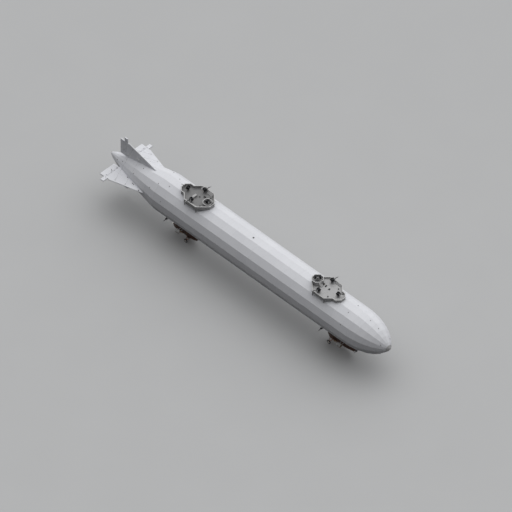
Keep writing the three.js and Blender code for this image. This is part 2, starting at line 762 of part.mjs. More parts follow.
function doorBody(row) {
  const rear = row.doorHinge - DOOR.width;
  const inside = -CABIN.halfWidth + CABIN.wall;
  const panel = block([rear, -CABIN.halfWidth, DOOR.low], [row.doorHinge, inside, DOOR.high]);
  const light = block(
    [rear + DOOR.frame, -CABIN.halfWidth - PAST, CABIN.windowLow],
    [row.doorHinge - DOOR.frame, inside + PAST, CABIN.windowHigh - DOOR.lightTop],
  );
  const lows = [DOOR.low + DOOR.knuckleInset, DOOR.high - DOOR.knuckleInset - DOOR.knuckleLength];
  const knuckles = lows.flatMap((low) => [
    rod(
      [row.doorHinge, HINGE_Y, low], [row.doorHinge, HINGE_Y, low + DOOR.knuckleLength],
      DOOR.knuckle, PIN_SIDES,
    ),
    block(
      [row.doorHinge - DOOR.leaf, HINGE_Y, low],
      [row.doorHinge - PAST, -CABIN.halfWidth + OVERLAP, low + DOOR.knuckleLength],
    ),
  ]);
  const bore = rod(
    [row.doorHinge, HINGE_Y, DOOR.low], [row.doorHinge, HINGE_Y, DOOR.high],
    DOOR.pin + RUNNING_GAP, PIN_SIDES,
  );
  return cut(joined([panel, ...knuckles]), [light, bore]);
}

function undercarriageBody(row) {
  const inner = WHEEL.y - WHEEL.width / 2 - LEG.gap;
  const axleEnd = WHEEL.y + WHEEL.width / 2 + LEG.gap + PAST;
  const seat = CABIN.keel - SEAM;
  const axle = rod(
    [row.wheel, -axleEnd, WHEEL.radius], [row.wheel, axleEnd, WHEEL.radius], WHEEL.axle, PIN_SIDES,
  );
  const pieces = [axle];
  const legTop = CABIN.keel + LEG.foot + PAST;
  for (const side of [-1, 1]) {
    const end = [row.wheel, side * inner, WHEEL.radius];
    for (const along of [-LEG.spread, LEG.spread]) {
      pieces.push(rod(end, [row.wheel + along, side * LEG.topY, legTop], LEG.rod, 6));
    }
    pieces.push(rod([row.wheel, side * (inner - LEG.collar), WHEEL.radius], end, LEG.collarRadius));
    const reach = LEG.spread + LEG.footEnd;
    pieces.push(block(
      [row.wheel - reach, side * LEG.topY - LEG.footHalf, seat - LEG.foot],
      [row.wheel + reach, side * LEG.topY + LEG.footHalf, seat],
    ));
  }
  const above = block(
    [row.wheel - 2 * LEG.spread, -axleEnd, seat], [row.wheel + 2 * LEG.spread, axleEnd, seat + CABIN.bilge],
  );
  return joined(pieces).subtract(above);
}

// Half a wheel's section from the bore to the tread, then mirrored
function wheelGeometry() {
  const half = WHEEL.width / 2;
  const bore = WHEEL.axle + RUNNING_GAP;
  const side = [
    [bore, half], [WHEEL.hub, half], [WHEEL.hub, WHEEL.web], [WHEEL.rim, WHEEL.web],
    [WHEEL.rim + WHEEL.bead, half - WHEEL.beadIn], [WHEEL.radius - WHEEL.shoulder, half],
    [WHEEL.radius, half - WHEEL.shoulder],
  ];
  const near = side.map(([radius, y]) => [radius, -y]);
  const outline = [...near, ...side.reverse(), near[0]];
  return new THREE.LatheGeometry(outline.map(([radius, y]) => new THREE.Vector2(radius, y)), 16);
}

function engineBody(row, side) {
  const toPropeller = Math.sign(row.propeller - row.engine);
  const half = ENGINE.length / 2;
  const y = side * ENGINE.y;
  const outline = octagonOutline(ENGINE.half, ENGINE.half, ENGINE.corner);
  const pod = section(outline, row.engine - half, row.engine + half).translate([0, y, ENGINE.z]);
  const face = row.engine + toPropeller * half;
  const bearing = rod(
    [face - toPropeller * OVERLAP, y, PROPELLER.z], [face + toPropeller * ENGINE.bearing, y, PROPELLER.z],
    PROPELLER.hub + ENGINE.bearingOut, PIN_SIDES,
  );
  const shaftEnd = row.propeller + toPropeller * (PROPELLER.hubLength / 2 + 2 * OVERLAP);
  const shaft = rod([row.engine, y, PROPELLER.z], [shaftEnd, y, PROPELLER.z], ENGINE.shaft, PIN_SIDES);
  const arms = [-ENGINE.armX, ENGINE.armX].map((along) => rod(
    [row.engine + along, side * (CABIN.halfWidth - ENGINE.armDrop), ENGINE.z - ENGINE.armDrop],
    [row.engine + along, side * (ENGINE.y - ENGINE.half + OVERLAP), ENGINE.z], ENGINE.arm,
  ));
  const cabin = cabinSolid(row, -SEAM, CABIN.keel - PAST, CABIN.roof);
  return joined([pod, bearing, shaft, ...arms]).subtract(cabin);
}

// A two-bladed propeller on the x axis, each blade set at its pitch
function propellerBody() {
  const half = PROPELLER.hubLength / 2;
  const hub = rod([-half, 0, 0], [half, 0, 0], PROPELLER.hub, PIN_SIDES);
  const left = PROPELLER.blade.map(([a, b]) => [-a, b]);
  const blade = profilePlate([...PROPELLER.blade, ...left.reverse()], PROPELLER.thickness);
  const blades = [0, 180].map((turn) => blade.rotate([0, 0, 90 - PROPELLER.pitch]).rotate([turn, 0, 0]));
  const bore = rod(
    [-half - PAST, 0, 0], [half + PAST, 0, 0], ENGINE.shaft + RUNNING_GAP, PIN_SIDES,
  );
  return joined([hub, ...blades]).subtract(bore);
}

function addGondolas() {
  const wheel = wheelGeometry();
  const propeller = propellerBody();
  for (const row of GONDOLAS) {
    place(`${row.name}_gondola_cabin`, cabinBody(row), MATERIALS.gondola);
    place(`${row.name}_gondola_roof`, roofBody(row), MATERIALS.gondola);
    place(`${row.name}_gondola_door`, doorBody(row), MATERIALS.gondola);
    place(`${row.name}_undercarriage`, undercarriageBody(row), MATERIALS.gondola);
    for (const [sideName, side] of [['port', 1], ['starboard', -1]]) {
      const label = `${row.name}_${sideName}`;
      const turn = THREE.MathUtils.degToRad(-side * PROPELLER.turn);
      const hub = [row.propeller, side * ENGINE.y, PROPELLER.z];
      place(`${label}_engine`, engineBody(row, side), MATERIALS.steel);
      place(`${label}_propeller`, propeller, MATERIALS.wood, hub, [turn, 0, 0]);
      place(`${label}_wheel`, wheel, MATERIALS.tyre, [row.wheel, side * WHEEL.y, WHEEL.radius]);
    }
  }
}

addHull();
addTail();
addDecks();
addGuns();
addLightGuns();
addGondolas();

export default airship;
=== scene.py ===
"""Looks of a rigid airship, a 1:10 scale model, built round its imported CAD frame."""
import math

import bmesh
import bpy
import numpy as np
from mathutils import Matrix, Vector


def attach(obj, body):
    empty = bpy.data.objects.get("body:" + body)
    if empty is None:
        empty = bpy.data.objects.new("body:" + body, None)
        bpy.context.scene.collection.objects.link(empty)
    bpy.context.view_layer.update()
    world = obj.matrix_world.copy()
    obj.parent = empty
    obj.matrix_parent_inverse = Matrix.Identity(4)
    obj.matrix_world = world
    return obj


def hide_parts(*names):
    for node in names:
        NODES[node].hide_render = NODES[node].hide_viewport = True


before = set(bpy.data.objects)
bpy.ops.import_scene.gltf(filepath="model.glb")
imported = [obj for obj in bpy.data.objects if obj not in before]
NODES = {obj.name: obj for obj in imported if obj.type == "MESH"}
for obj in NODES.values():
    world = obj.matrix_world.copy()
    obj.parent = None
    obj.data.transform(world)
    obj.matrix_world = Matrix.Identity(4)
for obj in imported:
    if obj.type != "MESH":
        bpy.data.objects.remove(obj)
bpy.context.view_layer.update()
ROOT = "airship"

# Shapes and places are in millimetres, +X to the nose, +Y to port; a mesh is made in metres
MM = 0.001
SIDES = {"port": 1, "starboard": -1}

# Hull, as in the frame: sixteen sides with a flat one on top, and a superellipse at each end
LENGTH = 9850
HULL_RADIUS = 537
HULL_SIDES = 16
SIDE_ANGLE = 360 / HULL_SIDES
AXIS_Z = 1060
NOSE_LENGTH = 1270
TAIL_LENGTH = 1956
PARALLEL_FRONT = LENGTH / 2 - NOSE_LENGTH
PARALLEL_REAR = -LENGTH / 2 + TAIL_LENGTH
NOSE_SHAPE = (2.5, 1.36)
TAIL_SHAPE = (1.055, 1.474)
END_RINGS = 8
BAY_FRAMES = 6
BAYS = ("aft_hull_bay", "middle_hull_bay", "fore_hull_bay")


def end_stations(root, tip, fullness, roundness):
    """The (x, radius) rings of one end of the hull, from its root to its tip."""
    rings = []
    for ring in range(END_RINGS + 1):
        share = math.sin(ring / END_RINGS * math.pi / 2)
        radius = HULL_RADIUS * max(0.0, 1 - share**fullness) ** (1 / roundness)
        rings.append((root + (tip - root) * share, radius))
    return rings


TAIL_STATIONS = end_stations(PARALLEL_REAR, -LENGTH / 2, *TAIL_SHAPE)[::-1]
NOSE_STATIONS = end_stations(PARALLEL_FRONT, LENGTH / 2, *NOSE_SHAPE)
STATIONS = TAIL_STATIONS + NOSE_STATIONS


def hull_radius(x):
    """How far the hull's corners are from its axis."""
    return float(np.interp(x, *zip(*STATIONS)))


def hull_flat(x):
    """How far the middle of each side is from the hull's axis."""
    return hull_radius(x) * math.cos(math.radians(SIDE_ANGLE / 2))


# Places
def at(x=0.0, y=0.0, z=0.0, *turns):
    """A place: turns are (axis, degrees) and the first is applied first, then the move."""
    place = Matrix.Identity(4)
    for axis, degrees in turns:
        place = Matrix.Rotation(math.radians(degrees), 4, axis) @ place
    return Matrix.Translation((x, y, z)) @ place


def swung(axis, degrees):
    """A turn about one axis, without a move."""
    return at(0, 0, 0, (axis, degrees))


def round_places(count, radius=0.0, height=0.0, start=0.0, on=at()):
    """Places evenly round the z of another place, each facing outwards along its x."""
    turns = [start + 360 * index / count for index in range(count)]
    return [on @ swung("Z", turn) @ at(radius, 0, height) for turn in turns]


def corner_places(x, y, z=0.0, on=at()):
    """Places at the four corners of a rectangle round another place."""
    return [on @ at(dx, dy, z) for dx in (-x, x) for dy in (-y, y)]


def facing(origin, along, out):
    """A place whose x runs along one direction and whose z points out as near as it can."""
    x = Vector(along).normalized()
    y = Vector(out).cross(x).normalized()
    turn = Matrix((x, y, x.cross(y))).transposed().to_4x4()
    return Matrix.Translation(origin) @ turn


def on_hull(x, angle):
    """A place on the hull's skin, z outwards and x to the nose; angle is from the top, to port."""
    side = round(angle / SIDE_ANGLE) * SIDE_ANGLE
    reach = hull_flat(x) / math.cos(math.radians(angle - side))
    rise = (hull_flat(x + 5) - hull_flat(x - 5)) / 10
    turned_out = Vector((0, math.sin(math.radians(side)), math.cos(math.radians(side))))
    middle = Vector((0, math.sin(math.radians(angle)), math.cos(math.radians(angle)))) * reach
    along = Vector((1, 0, 0)) + turned_out * rise
    return facing((x, middle.y, AXIS_Z + middle.z), along, turned_out)


# Shapes: a list of points and a list of faces, always closed
def box(one, other):
    """A box between two opposite corners."""
    low, high = np.minimum(one, other), np.maximum(one, other)
    points = [(x, y, z) for x in (low[0], high[0]) for y in (low[1], high[1]) for z in (low[2], high[2])]
    faces = [(0, 1, 3, 2), (4, 6, 7, 5), (0, 4, 5, 1), (2, 3, 7, 6), (0, 2, 6, 4), (1, 5, 7, 3)]
    return np.array(points, float), faces


def slab(length, width, height, low=0.0):
    """A box centred over the origin."""
    return box((-length / 2, -width / 2, low), (length / 2, width / 2, low + height))


def skin(rings, loop=False):
    """A surface through rings of points. A ring of one point is a tip."""
    starts = np.cumsum([0] + [len(ring) for ring in rings])
    sides = max(len(ring) for ring in rings)
    faces = []
    for near in range(len(rings) if loop else len(rings) - 1):
        far = (near + 1) % len(rings)
        for side in range(sides):
            following = (side + 1) % sides
            corners = [starts[ring] + step % len(rings[ring]) for ring, step in
                       ((near, side), (near, following), (far, following), (far, side))]
            faces.append(tuple(dict.fromkeys(int(corner) for corner in corners)))
    if not loop:
        for end in (0, len(rings) - 1):
            if len(rings[end]) > 2:
                faces.append(tuple(range(int(starts[end]), int(starts[end + 1]))))
    return np.concatenate([np.array(ring, float) for ring in rings]), faces


def turned(profile, sides=24, loop=False, start=0.0):
    """A profile of (height, radius) turned about the z axis."""
    angles = np.radians(start) + np.arange(sides) * 2 * np.pi / sides
    rings = []
    for height, radius in profile:
        if radius <= 0:
            rings.append(np.array([[0.0, 0.0, height]]))
        else:
            heights = np.full(sides, float(height))
            rings.append(np.stack([radius * np.cos(angles), radius * np.sin(angles), heights], axis=1))
    return skin(rings, loop)


def hoop(radius, thickness, sides=24, round_sides=8):
    """A ring of round section about the z axis."""
    turns = np.arange(round_sides) * 2 * np.pi / round_sides
    profile = [(thickness * math.sin(turn), radius + thickness * math.cos(turn)) for turn in turns]
    return turned(profile, sides, loop=True)


def prism(outline, low, high):
    """An outline in plan, from one height to another."""
    return skin([np.array([(x, y, height) for x, y in outline], float) for height in (low, high)])


def plate(outline, width, middle=0.0):
    """An outline of x and z, as wide as given along y."""
    points, faces = prism(outline, middle - width / 2, middle + width / 2)
    return points[:, [0, 2, 1]], faces


def beam(outline, rear, front):
    """An outline of y and z, from one x to another."""
    points, faces = prism(outline, rear, front)
    return points[:, [2, 0, 1]], faces


def circle(radius, sides=8):
    """A round section for swept()."""
    angles = np.arange(sides) * 2 * np.pi / sides
    return np.stack([radius * np.cos(angles), radius * np.sin(angles)], axis=1)


def swept(path, section, up=(0, 0, 1), loop=False):
    """A section of (across, up) points swept along a path, mitred at its corners."""
    path, section = np.array(path, float), np.array(section, float)
    ahead = np.roll(path, -1, axis=0) - path
    behind = path - np.roll(path, 1, axis=0)
    if not loop:
        ahead[-1] = behind[-1]
        behind[0] = ahead[0]
    ahead /= np.linalg.norm(ahead, axis=1, keepdims=True)
    behind /= np.linalg.norm(behind, axis=1, keepdims=True)
    rings = []
    for point, a, b in zip(path, ahead, behind):
        tangent = (a + b) / np.linalg.norm(a + b)
        lead = np.array(up, float)
        if abs(tangent @ lead) > 0.98:
            lead = np.array((1.0, 0.0, 0.0))
        across = np.cross(lead, tangent)
        across /= np.linalg.norm(across)
        above = np.cross(tangent, across)
        mitre = 1 / max(0.5, tangent @ a)
        rings.append(point + section[:, :1] * across * mitre + section[:, 1:] * above)
    return skin(rings, loop)


def rectangle(width, height):
    """A section for swept(), with the path in its middle."""
    half, rise = width / 2, height / 2
    return [(-half, -rise), (half, -rise), (half, rise), (-half, rise)]


def bar(start, end, width, height, up=(0, 0, 1)):
    """A straight bar of rectangular section between two points."""
    return swept([start, end], rectangle(width, height), up)


def rod(start, end, radius, sides=8):
    """A straight round bar between two points."""
    return swept([start, end], circle(radius, sides))


def pipe(path, radius, sides=8, loop=False):
    """A round bar along a path."""
    return swept(path, circle(radius, sides), loop=loop)


def curve(points, steps=6):
    """A smooth path through points."""
    points = [np.array(point, float) for point in points]
    ends = [2 * points[0] - points[1], *points, 2 * points[-1] - points[-2]]
    path = []
    for a, b, c, d in zip(ends, ends[1:], ends[2:], ends[3:]):
        for step in range(steps):
            t = step / steps
            bend = 2 * b + (c - a) * t + (2 * a - 5 * b + 4 * c - d) * t * t
            path.append(0.5 * (bend + (3 * b - a - 3 * c + d) * t**3))
    return [*path, points[-1]]


def rivet(radius=1.5, height=0.9):
    """A low pointed head."""
    return turned([(-0.4, radius), (height / 2, radius * 0.85), (height, 0)], 6)


def bolt(radius=2.4, height=1.8):
    """A hexagon head on a washer."""
    profile = [(-0.4, radius * 1.5), (0.5, radius * 1.5), (0.5, radius), (height, radius),
               (height + 0.4, radius * 0.8)]
    return turned(profile, 6)


# A shape turned about z is laid along x with this
ALONG_X = swung("Y", 90)

# Shading is smooth over edges up to one angle; edges over the other can be rounded, in degrees
SMOOTH_BELOW = 32
ROUND_ABOVE = 40


class Piece:
    """Closed shapes gathered into one mesh, each with its finish."""

    def __init__(self):
        self.points = []
        self.faces = []
        self.finish_of_face = []
        self.finishes = []
        self.count = 0

    def lay(self, points, faces, finish_of_face, places):
        """Adds points and their faces once for each place."""
        for place in places:
            turn = np.array(place.to_3x3())
            self.points.append(points @ turn.T + np.array(place.translation))
            self.faces.extend(tuple(corner + self.count for corner in face) for face in faces)
            self.finish_of_face.extend(finish_of_face)
            self.count += len(points)

    def add(self, shape, finish, *places):
        """Adds the shape once for each place, or once where it is."""
        points, faces = shape
        if finish not in self.finishes:
            self.finishes.append(finish)
        self.lay(points, faces, [self.finishes.index(finish)] * len(faces), places or (at(),))

    def join(self, other, *places):
        """Adds all that another piece has, once for each place."""
        self.finishes += [finish for finish in other.finishes if finish not in self.finishes]
        numbers = [self.finishes.index(other.finishes[index]) for index in other.finish_of_face]
        self.lay(np.concatenate(other.points), other.faces, numbers, places)

    def mesh(self, name):
        made = bpy.data.meshes.new(name)
        made.from_pydata((np.concatenate(self.points) * MM).tolist(), [], self.faces)
        made.polygons.foreach_set("material_index", self.finish_of_face)
        work = bmesh.new()
        work.from_mesh(made)
        bmesh.ops.recalc_face_normals(work, faces=work.faces)
        work.to_mesh(made)
        work.free()
        made.shade_smooth()
        made.set_sharp_from_angle(angle=math.radians(SMOOTH_BELOW))
        for finish in self.finishes:
            made.materials.append(finish)
        return made


def rounded(shown, width):
    """Rounds the sharp edges of a shown object."""
    rounding = shown.modifiers.new("rounding", "BEVEL")
    rounding.width = width * MM
    rounding.segments = 2
    rounding.limit_method = "ANGLE"
    rounding.angle_limit = math.radians(ROUND_ABOVE)
    rounding.use_clamp_overlap = True


def show(name, mesh, body, place=None, stands_for=(), rounding=0.0):
    """Puts a mesh, or a gathered piece, in the scene, riding on its body."""
    if isinstance(mesh, Piece):
        mesh = mesh.mesh(name)
    shown = bpy.data.objects.new(name, mesh)
    bpy.context.scene.collection.objects.link(shown)
    if place is not None:
        metric = place.copy()
        metric.translation = place.translation * MM
        shown.matrix_world = metric
    if rounding:
        rounded(shown, rounding)
    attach(shown, body)
    if stands_for:
        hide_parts(*stands_for)
    return shown


# Finishes
def add_node(tree, kind, inputs=(), **settings):
    """Adds a node to a tree; an input is a value or another node's socket."""
    made = tree.nodes.new(kind)
    for key, value in settings.items():
        setattr(made, key, value)
    for key, value in dict(inputs).items():
        if isinstance(value, bpy.types.NodeSocket):
            tree.links.new(value, made.inputs[key])
        else:
            made.inputs[key].default_value = value
    return made


class Finish:
    """A node material: its shader, and short ways to add nodes to it."""

    def __init__(self, name, roughness, metallic=0.0, specular=0.5, coat=0.0, coat_roughness=0.1):
        self.material = bpy.data.materials.new(name)
        self.material.use_nodes = True
        self.tree = self.material.node_tree
        self.shader = self.tree.nodes["Principled BSDF"]
        self.put("Roughness", roughness)
        self.put("Metallic", metallic)
        self.put("Specular IOR Level", specular)
        self.put("Coat Weight", coat)
        self.put("Coat Roughness", coat_roughness)
        self.height = None
        self.place = self.node("ShaderNodeTexCoord").outputs["Object"]

    def put(self, name, value):
        self.shader.inputs[name].default_value = value

    def node(self, kind, inputs=(), **settings):
        return add_node(self.tree, kind, inputs, **settings)

    def math(self, operation, a, b=0.0, c=0.0, clamp=False):
        inputs = {0: a, 1: b, 2: c}
        return self.node("ShaderNodeMath", inputs, operation=operation, use_clamp=clamp).outputs[0]

    def times(self, a, b):
        return self.math("MULTIPLY", a, b)

    def axes(self, place=None):
        """The x, y and z of a place."""
        parts = self.node("ShaderNodeSeparateXYZ", {0: place or self.place}).outputs
        return parts[0], parts[1], parts[2]

    def hull_angle(self):
        """The angle round the hull's axis, from the top."""
        _, y, z = self.axes()
        return self.math("ARCTAN2", y, self.math("SUBTRACT", z, AXIS_Z * MM))

    def join(self, x=0.0, y=0.0, z=0.0):
        return self.node("ShaderNodeCombineXYZ", {0: x, 1: y, 2: z}).outputs[0]

    def stretched(self, x, y, z):
        scale = {"Vector": self.place, "Scale": (x, y, z)}
        return self.node("ShaderNodeMapping", scale).outputs[0]

    def noise(self, scale, detail=3.0, place=None, roughness=0.5):
        inputs = {"Vector": place or self.place, "Scale": scale, "Detail": detail, "Roughness": roughness}
        return self.node("ShaderNodeTexNoise", inputs).outputs[0]

    def random(self, place):
        """A random value for each whole-numbered place."""
        return self.node("ShaderNodeTexWhiteNoise", {"Vector": place}, noise_dimensions="3D").outputs["Value"]

    def span(self, value, low, high, start=0.0, end=1.0):
        """The value's run from low to high, turned into a run from start to end."""
        inputs = {"Value": value, "From Min": low, "From Max": high, "To Min": start, "To Max": end}
        return self.node("ShaderNodeMapRange", inputs, clamp=True).outputs[0]

    def line(self, value, pitch, width):
        """1 on lines that repeat at a pitch along a value, in metres, and 0 between them."""
        phase = self.math("PINGPONG", value, pitch / 2)
        return self.span(phase, width / 2, width / 4)

    def most(self, a, b):
        return self.math("MAXIMUM", a, b)

    def mix(self, factor, a, b, how="MIX"):
        inputs = {0: factor, 6: a, 7: b}
        return self.node("ShaderNodeMix", inputs, data_type="RGBA", blend_type=how).outputs[2]

    def shade(self, colour, value):
        """The colour, times a value."""
        return self.mix(1.0, colour, self.join(value, value, value), "MULTIPLY")

    def colour(self, socket):
        self.tree.links.new(socket, self.shader.inputs["Base Color"])

    def rough(self, value, low, high):
        self.tree.links.new(self.span(value, 0.3, 0.7, low, high), self.shader.inputs["Roughness"])

    def bump(self, height, depth, strength=1.0):
        """Adds relief as deep as given, in millimetres, on top of what is there."""
        inputs = {"Height": height, "Distance": depth * MM, "Strength": strength}
        if self.height is not None:
            inputs["Normal"] = self.height
        self.height = self.node("ShaderNodeBump", inputs).outputs[0]
        self.tree.links.new(self.height, self.shader.inputs["Normal"])


def tone(red, green, blue):
    """A colour from its linear parts."""
    return (red, green, blue, 1.0)


def doped_fabric():
    """Silver-white doped cotton: a tint for each panel, faint rings of lacing, weave and grime."""
    made = Finish("doped_fabric", roughness=0.52, specular=0.35)
    x, _, z = made.axes()
    angle = made.hull_angle()
    side = made.math("FLOOR", made.math("ADD", made.math("DIVIDE", angle, math.radians(SIDE_ANGLE)), 0.5))
    pitch = (PARALLEL_FRONT - PARALLEL_REAR) / len(BAYS) / BAY_FRAMES * MM
    along = made.math("FLOOR", made.math("DIVIDE", made.math("ADD", x, -PARALLEL_REAR * MM), pitch))
    panel = made.random(made.join(along, side, 0.0))
    base = made.mix(panel, tone(0.735, 0.745, 0.785), tone(0.765, 0.775, 0.812))
    cloud = made.noise(1.7, 4.0)
    base = made.shade(base, made.span(cloud, 0.3, 0.7, 0.975, 1.02))
    run = made.join(made.times(x, 26.0), made.times(angle, 1.3), z)
    streak = made.span(made.noise(1.0, 5.0, run, 0.6), 0.58, 0.82)
    low = made.span(z, 1.5, 0.6, 0.2, 1.0)
    base = made.mix(made.times(streak, made.times(low, 0.28)), base, tone(0.45, 0.44, 0.42))
    stitches = made.times(made.line(x, pitch / 4, 0.004), made.line(angle, 0.024, 0.012))
    base = made.mix(made.times(stitches, 0.35), base, tone(0.42, 0.42, 0.43))
    made.colour(base)
    made.rough(cloud, 0.46, 0.6)
    sag = made.math("COSINE", made.times(x, 2 * math.pi / pitch * 4))
    made.bump(sag, 0.35, 0.5)
    made.bump(made.line(x, pitch / 4, 0.003), 0.3, 0.6)
    weave = made.math("ADD", made.noise(900.0, 1.0), made.noise(260.0, 2.0))
    made.bump(weave, 0.12, 0.5)
    return made.material


def doped_tape():
    """Seam tape, a little brighter than the fabric, with stitches along it."""
    made = Finish("doped_tape", roughness=0.5, specular=0.35)
    x, _, _ = made.axes()
    stitches = made.times(made.line(x, 0.006, 0.0024), made.line(made.hull_angle(), 0.012, 0.0045))
    base = made.mix(made.noise(9.0), tone(0.75, 0.76, 0.795), tone(0.80, 0.81, 0.845))
    grime = made.span(made.noise(30.0, 4.0), 0.55, 0.75, 0.0, 0.3)
    base = made.mix(grime, base, tone(0.5, 0.49, 0.48))
    made.colour(made.mix(made.times(stitches, 0.5), base, tone(0.35, 0.35, 0.36)))
    made.bump(stitches, 0.2, 0.6)
    made.bump(made.noise(500.0, 2.0), 0.1, 0.5)
    return made.material


def painted(name, low, high, worn, roughness=0.5, scale=40.0, wear=0.62):
    """Oil paint over metal: two close tints, chips that show what is under it, and brush marks."""
    made = Finish(name, roughness=roughness, specular=0.4)
    patch = made.noise(scale * 0.35, 4.0)
    base = made.mix(patch, tone(*low), tone(*high))
    chips = made.span(made.noise(scale * 4, 6.0, roughness=0.65), wear, wear + 0.05)
    made.colour(made.mix(made.times(chips, 0.7), base, tone(*worn)))
    made.rough(patch, roughness - 0.08, roughness + 0.1)
    made.bump(chips, -0.15, 0.5)
    made.bump(made.noise(600.0, 3.0), 0.08, 0.4)
    return made.material


def deck_paint(name, top_factor_over_painted_side_shade):
    """Grey deck paint on plates: joints, rivet rows and scuffs on the floor; the sides' tone is painted
    shade.
    """
    made = Finish(name, roughness=0.6, specular=0.35)
    x, y, _ = made.axes()
    _, _, upward = made.axes(made.node("ShaderNodeNewGeometry").outputs["Normal"])
    top = made.span(upward, 0.3, 0.6)
    # Painted shade: sides keep this base tone, and up-facing tops are scaled by the given factor
    base = made.mix(made.noise(14.0, 4.0), tone(0.30, 0.30, 0.305), tone(0.35, 0.35, 0.35))
    base = made.shade(base, made.span(top, 0.0, 1.0, 1.0, top_factor_over_painted_side_shade))
    long, wide, joint, rivet_band, rivet_pitch = 0.11, 0.15, 0.0016, 0.012, 0.01
    plates = made.most(made.line(x, long, joint), made.line(y, wide, joint))
    row = made.most(made.line(x, long, rivet_band), made.line(y, wide, rivet_band))
    heads = [made.line(made.math("ADD", way, rivet_pitch / 2), rivet_pitch, 0.004) for way in (x, y)]
    studs = made.times(*heads)
    studs = made.times(studs, made.math("SUBTRACT", row, plates))
    joints = made.times(plates, top)
    base = made.mix(made.times(joints, 0.6), base, tone(0.1, 0.1, 0.1))
    scuffs = made.span(made.noise(18.0, 7.0, roughness=0.7), 0.56, 0.7)
    base = made.mix(made.times(scuffs, 0.28), base, tone(0.24, 0.235, 0.225))
    drip = made.span(made.noise(1.0, 4.0, made.stretched(60.0, 60.0, 3.0)), 0.6, 0.8, 0.0, 0.25)
    made.colour(made.mix(drip, base, tone(0.28, 0.24, 0.2)))
    made.rough(scuffs, 0.5, 0.68)
    made.bump(joints, -0.5, 0.8)
    made.bump(made.times(studs, top), 0.5, 0.8)
    made.bump(made.noise(420.0, 3.0), 0.12, 0.4)
    return made.material


def planked_wood():
    """Varnished mahogany planks that run fore and aft, with grain along them."""
    made = Finish("varnished_mahogany", roughness=0.38, specular=0.4, coat=0.3, coat_roughness=0.15)
    x, _, z = made.axes()
    width, length = 0.0165, 0.42
    row = made.math("FLOOR", made.math("DIVIDE", z, width))
    staggered = made.math("ADD", made.math("DIVIDE", x, length), made.times(row, 0.37))
    tint = made.random(made.join(row, made.math("FLOOR", staggered), 1.0))
    grain = made.noise(1.0, 6.0, made.stretched(22.0, 260.0, 420.0), 0.6)
    base = made.mix(tint, tone(0.085, 0.036, 0.023), tone(0.150, 0.068, 0.042))
    base = made.shade(base, made.span(grain, 0.3, 0.7, 0.65, 1.3))
    joints = made.line(z, width, 0.0012)
    made.colour(made.mix(made.times(joints, 0.85), base, tone(0.012, 0.006, 0.004)))
    made.rough(grain, 0.3, 0.48)
    made.bump(joints, -0.5, 0.9)
    made.bump(grain, 0.12, 0.5)
    return made.material


def laminated_wood():
    """Propeller wood: thin light and dark layers that show as contours where the blade is cut."""
    made = Finish("laminated_wood", roughness=0.34, specular=0.45, coat=0.5, coat_roughness=0.12)
    x, _, _ = made.axes()
    bent = made.math("ADD", x, made.times(made.noise(60.0), 0.0006))
    layers = made.span(made.math("PINGPONG", bent, 0.0016), 0.0005, 0.0011)
    grain = made.noise(1.0, 5.0, made.stretched(500.0, 500.0, 24.0), 0.6)
    base = made.mix(layers, tone(0.72, 0.50, 0.30), tone(0.55, 0.34, 0.18))
    made.colour(made.shade(base, made.span(grain, 0.3, 0.7, 0.78, 1.16)))
    made.bump(grain, 0.08, 0.4)
    return made.material


def bare_metal(name, colour, roughness):
    """Bare metal with brushed streaks and a few dull stains."""
    made = Finish(name, roughness=roughness, metallic=1.0)
    stain = made.span(made.noise(60.0, 6.0), 0.45, 0.7)
    dark = [0.45 * part for part in colour]
    made.colour(made.mix(made.times(stain, 0.55), tone(*colour), tone(*dark)))
    made.rough(stain, roughness, roughness + 0.22)
    made.bump(made.noise(1.0, 3.0, made.stretched(300.0, 2400.0, 2400.0)), 0.03, 0.4)
    return made.material


def gun_steel():
    """Blued steel that has worn bright in patches."""
    made = Finish("blued_steel", roughness=0.42, metallic=0.55, specular=0.4)
    patch = made.noise(90.0, 4.0)
    worn = made.span(made.noise(420.0, 6.0, roughness=0.7), 0.6, 0.72)
    base = made.mix(patch, tone(0.016, 0.017, 0.020), tone(0.040, 0.041, 0.045))
    made.colour(made.mix(made.times(worn, 0.5), base, tone(0.17, 0.17, 0.17)))
    made.rough(patch, 0.34, 0.52)
    made.bump(made.noise(800.0, 3.0), 0.05, 0.4)
    return made.material


def tyre_rubber():
    """Black rubber with dust on it."""
    made = Finish("tyre_rubber", roughness=0.82, specular=0.25)
    dust = made.span(made.noise(70.0, 6.0), 0.42, 0.72)
    made.colour(made.mix(made.times(dust, 0.6), tone(0.014, 0.014, 0.014), tone(0.07, 0.064, 0.056)))
    made.rough(dust, 0.72, 0.92)
    made.bump(made.noise(900.0, 3.0), 0.1, 0.5)
    return made.material


def tinted_glass(name, colour, roughness=0.03):
    """Old window glass: slightly wavy, with a film of dust."""
    made = Finish(name, roughness=roughness)
    made.put("Transmission Weight", 0.96)
    made.put("IOR", 1.45)
    made.colour(made.shade(tone(*colour), made.span(made.noise(25.0, 4.0), 0.3, 0.7, 0.86, 1.0)))
    made.bump(made.noise(14.0, 2.0), 0.6, 0.25)
    return made.material


def lit_glass():
    """Opal glass of a lamp that is on: a soft glow and a slightly mottled tint."""
    made = Finish("lit_opal_glass", roughness=0.3)
    made.colour(made.mix(made.noise(120.0, 3.0), tone(0.84, 0.83, 0.78), tone(0.92, 0.91, 0.88)))
    made.put("Emission Color", tone(1.0, 0.98, 0.94))
    made.put("Emission Strength", 0.5)
    made.bump(made.noise(300.0, 2.0), 0.1, 0.3)
    return made.material


def cord_wrap():
    """Waxed line: two close tints and a fine, uneven surface."""
    made = Finish("cord_wrap", roughness=0.75, specular=0.25)
    fleck = made.noise(400.0, 3.0)
    made.colour(made.mix(fleck, tone(0.30, 0.26, 0.19), tone(0.46, 0.41, 0.31)))
    made.bump(fleck, 0.2, 0.7)
    return made.material


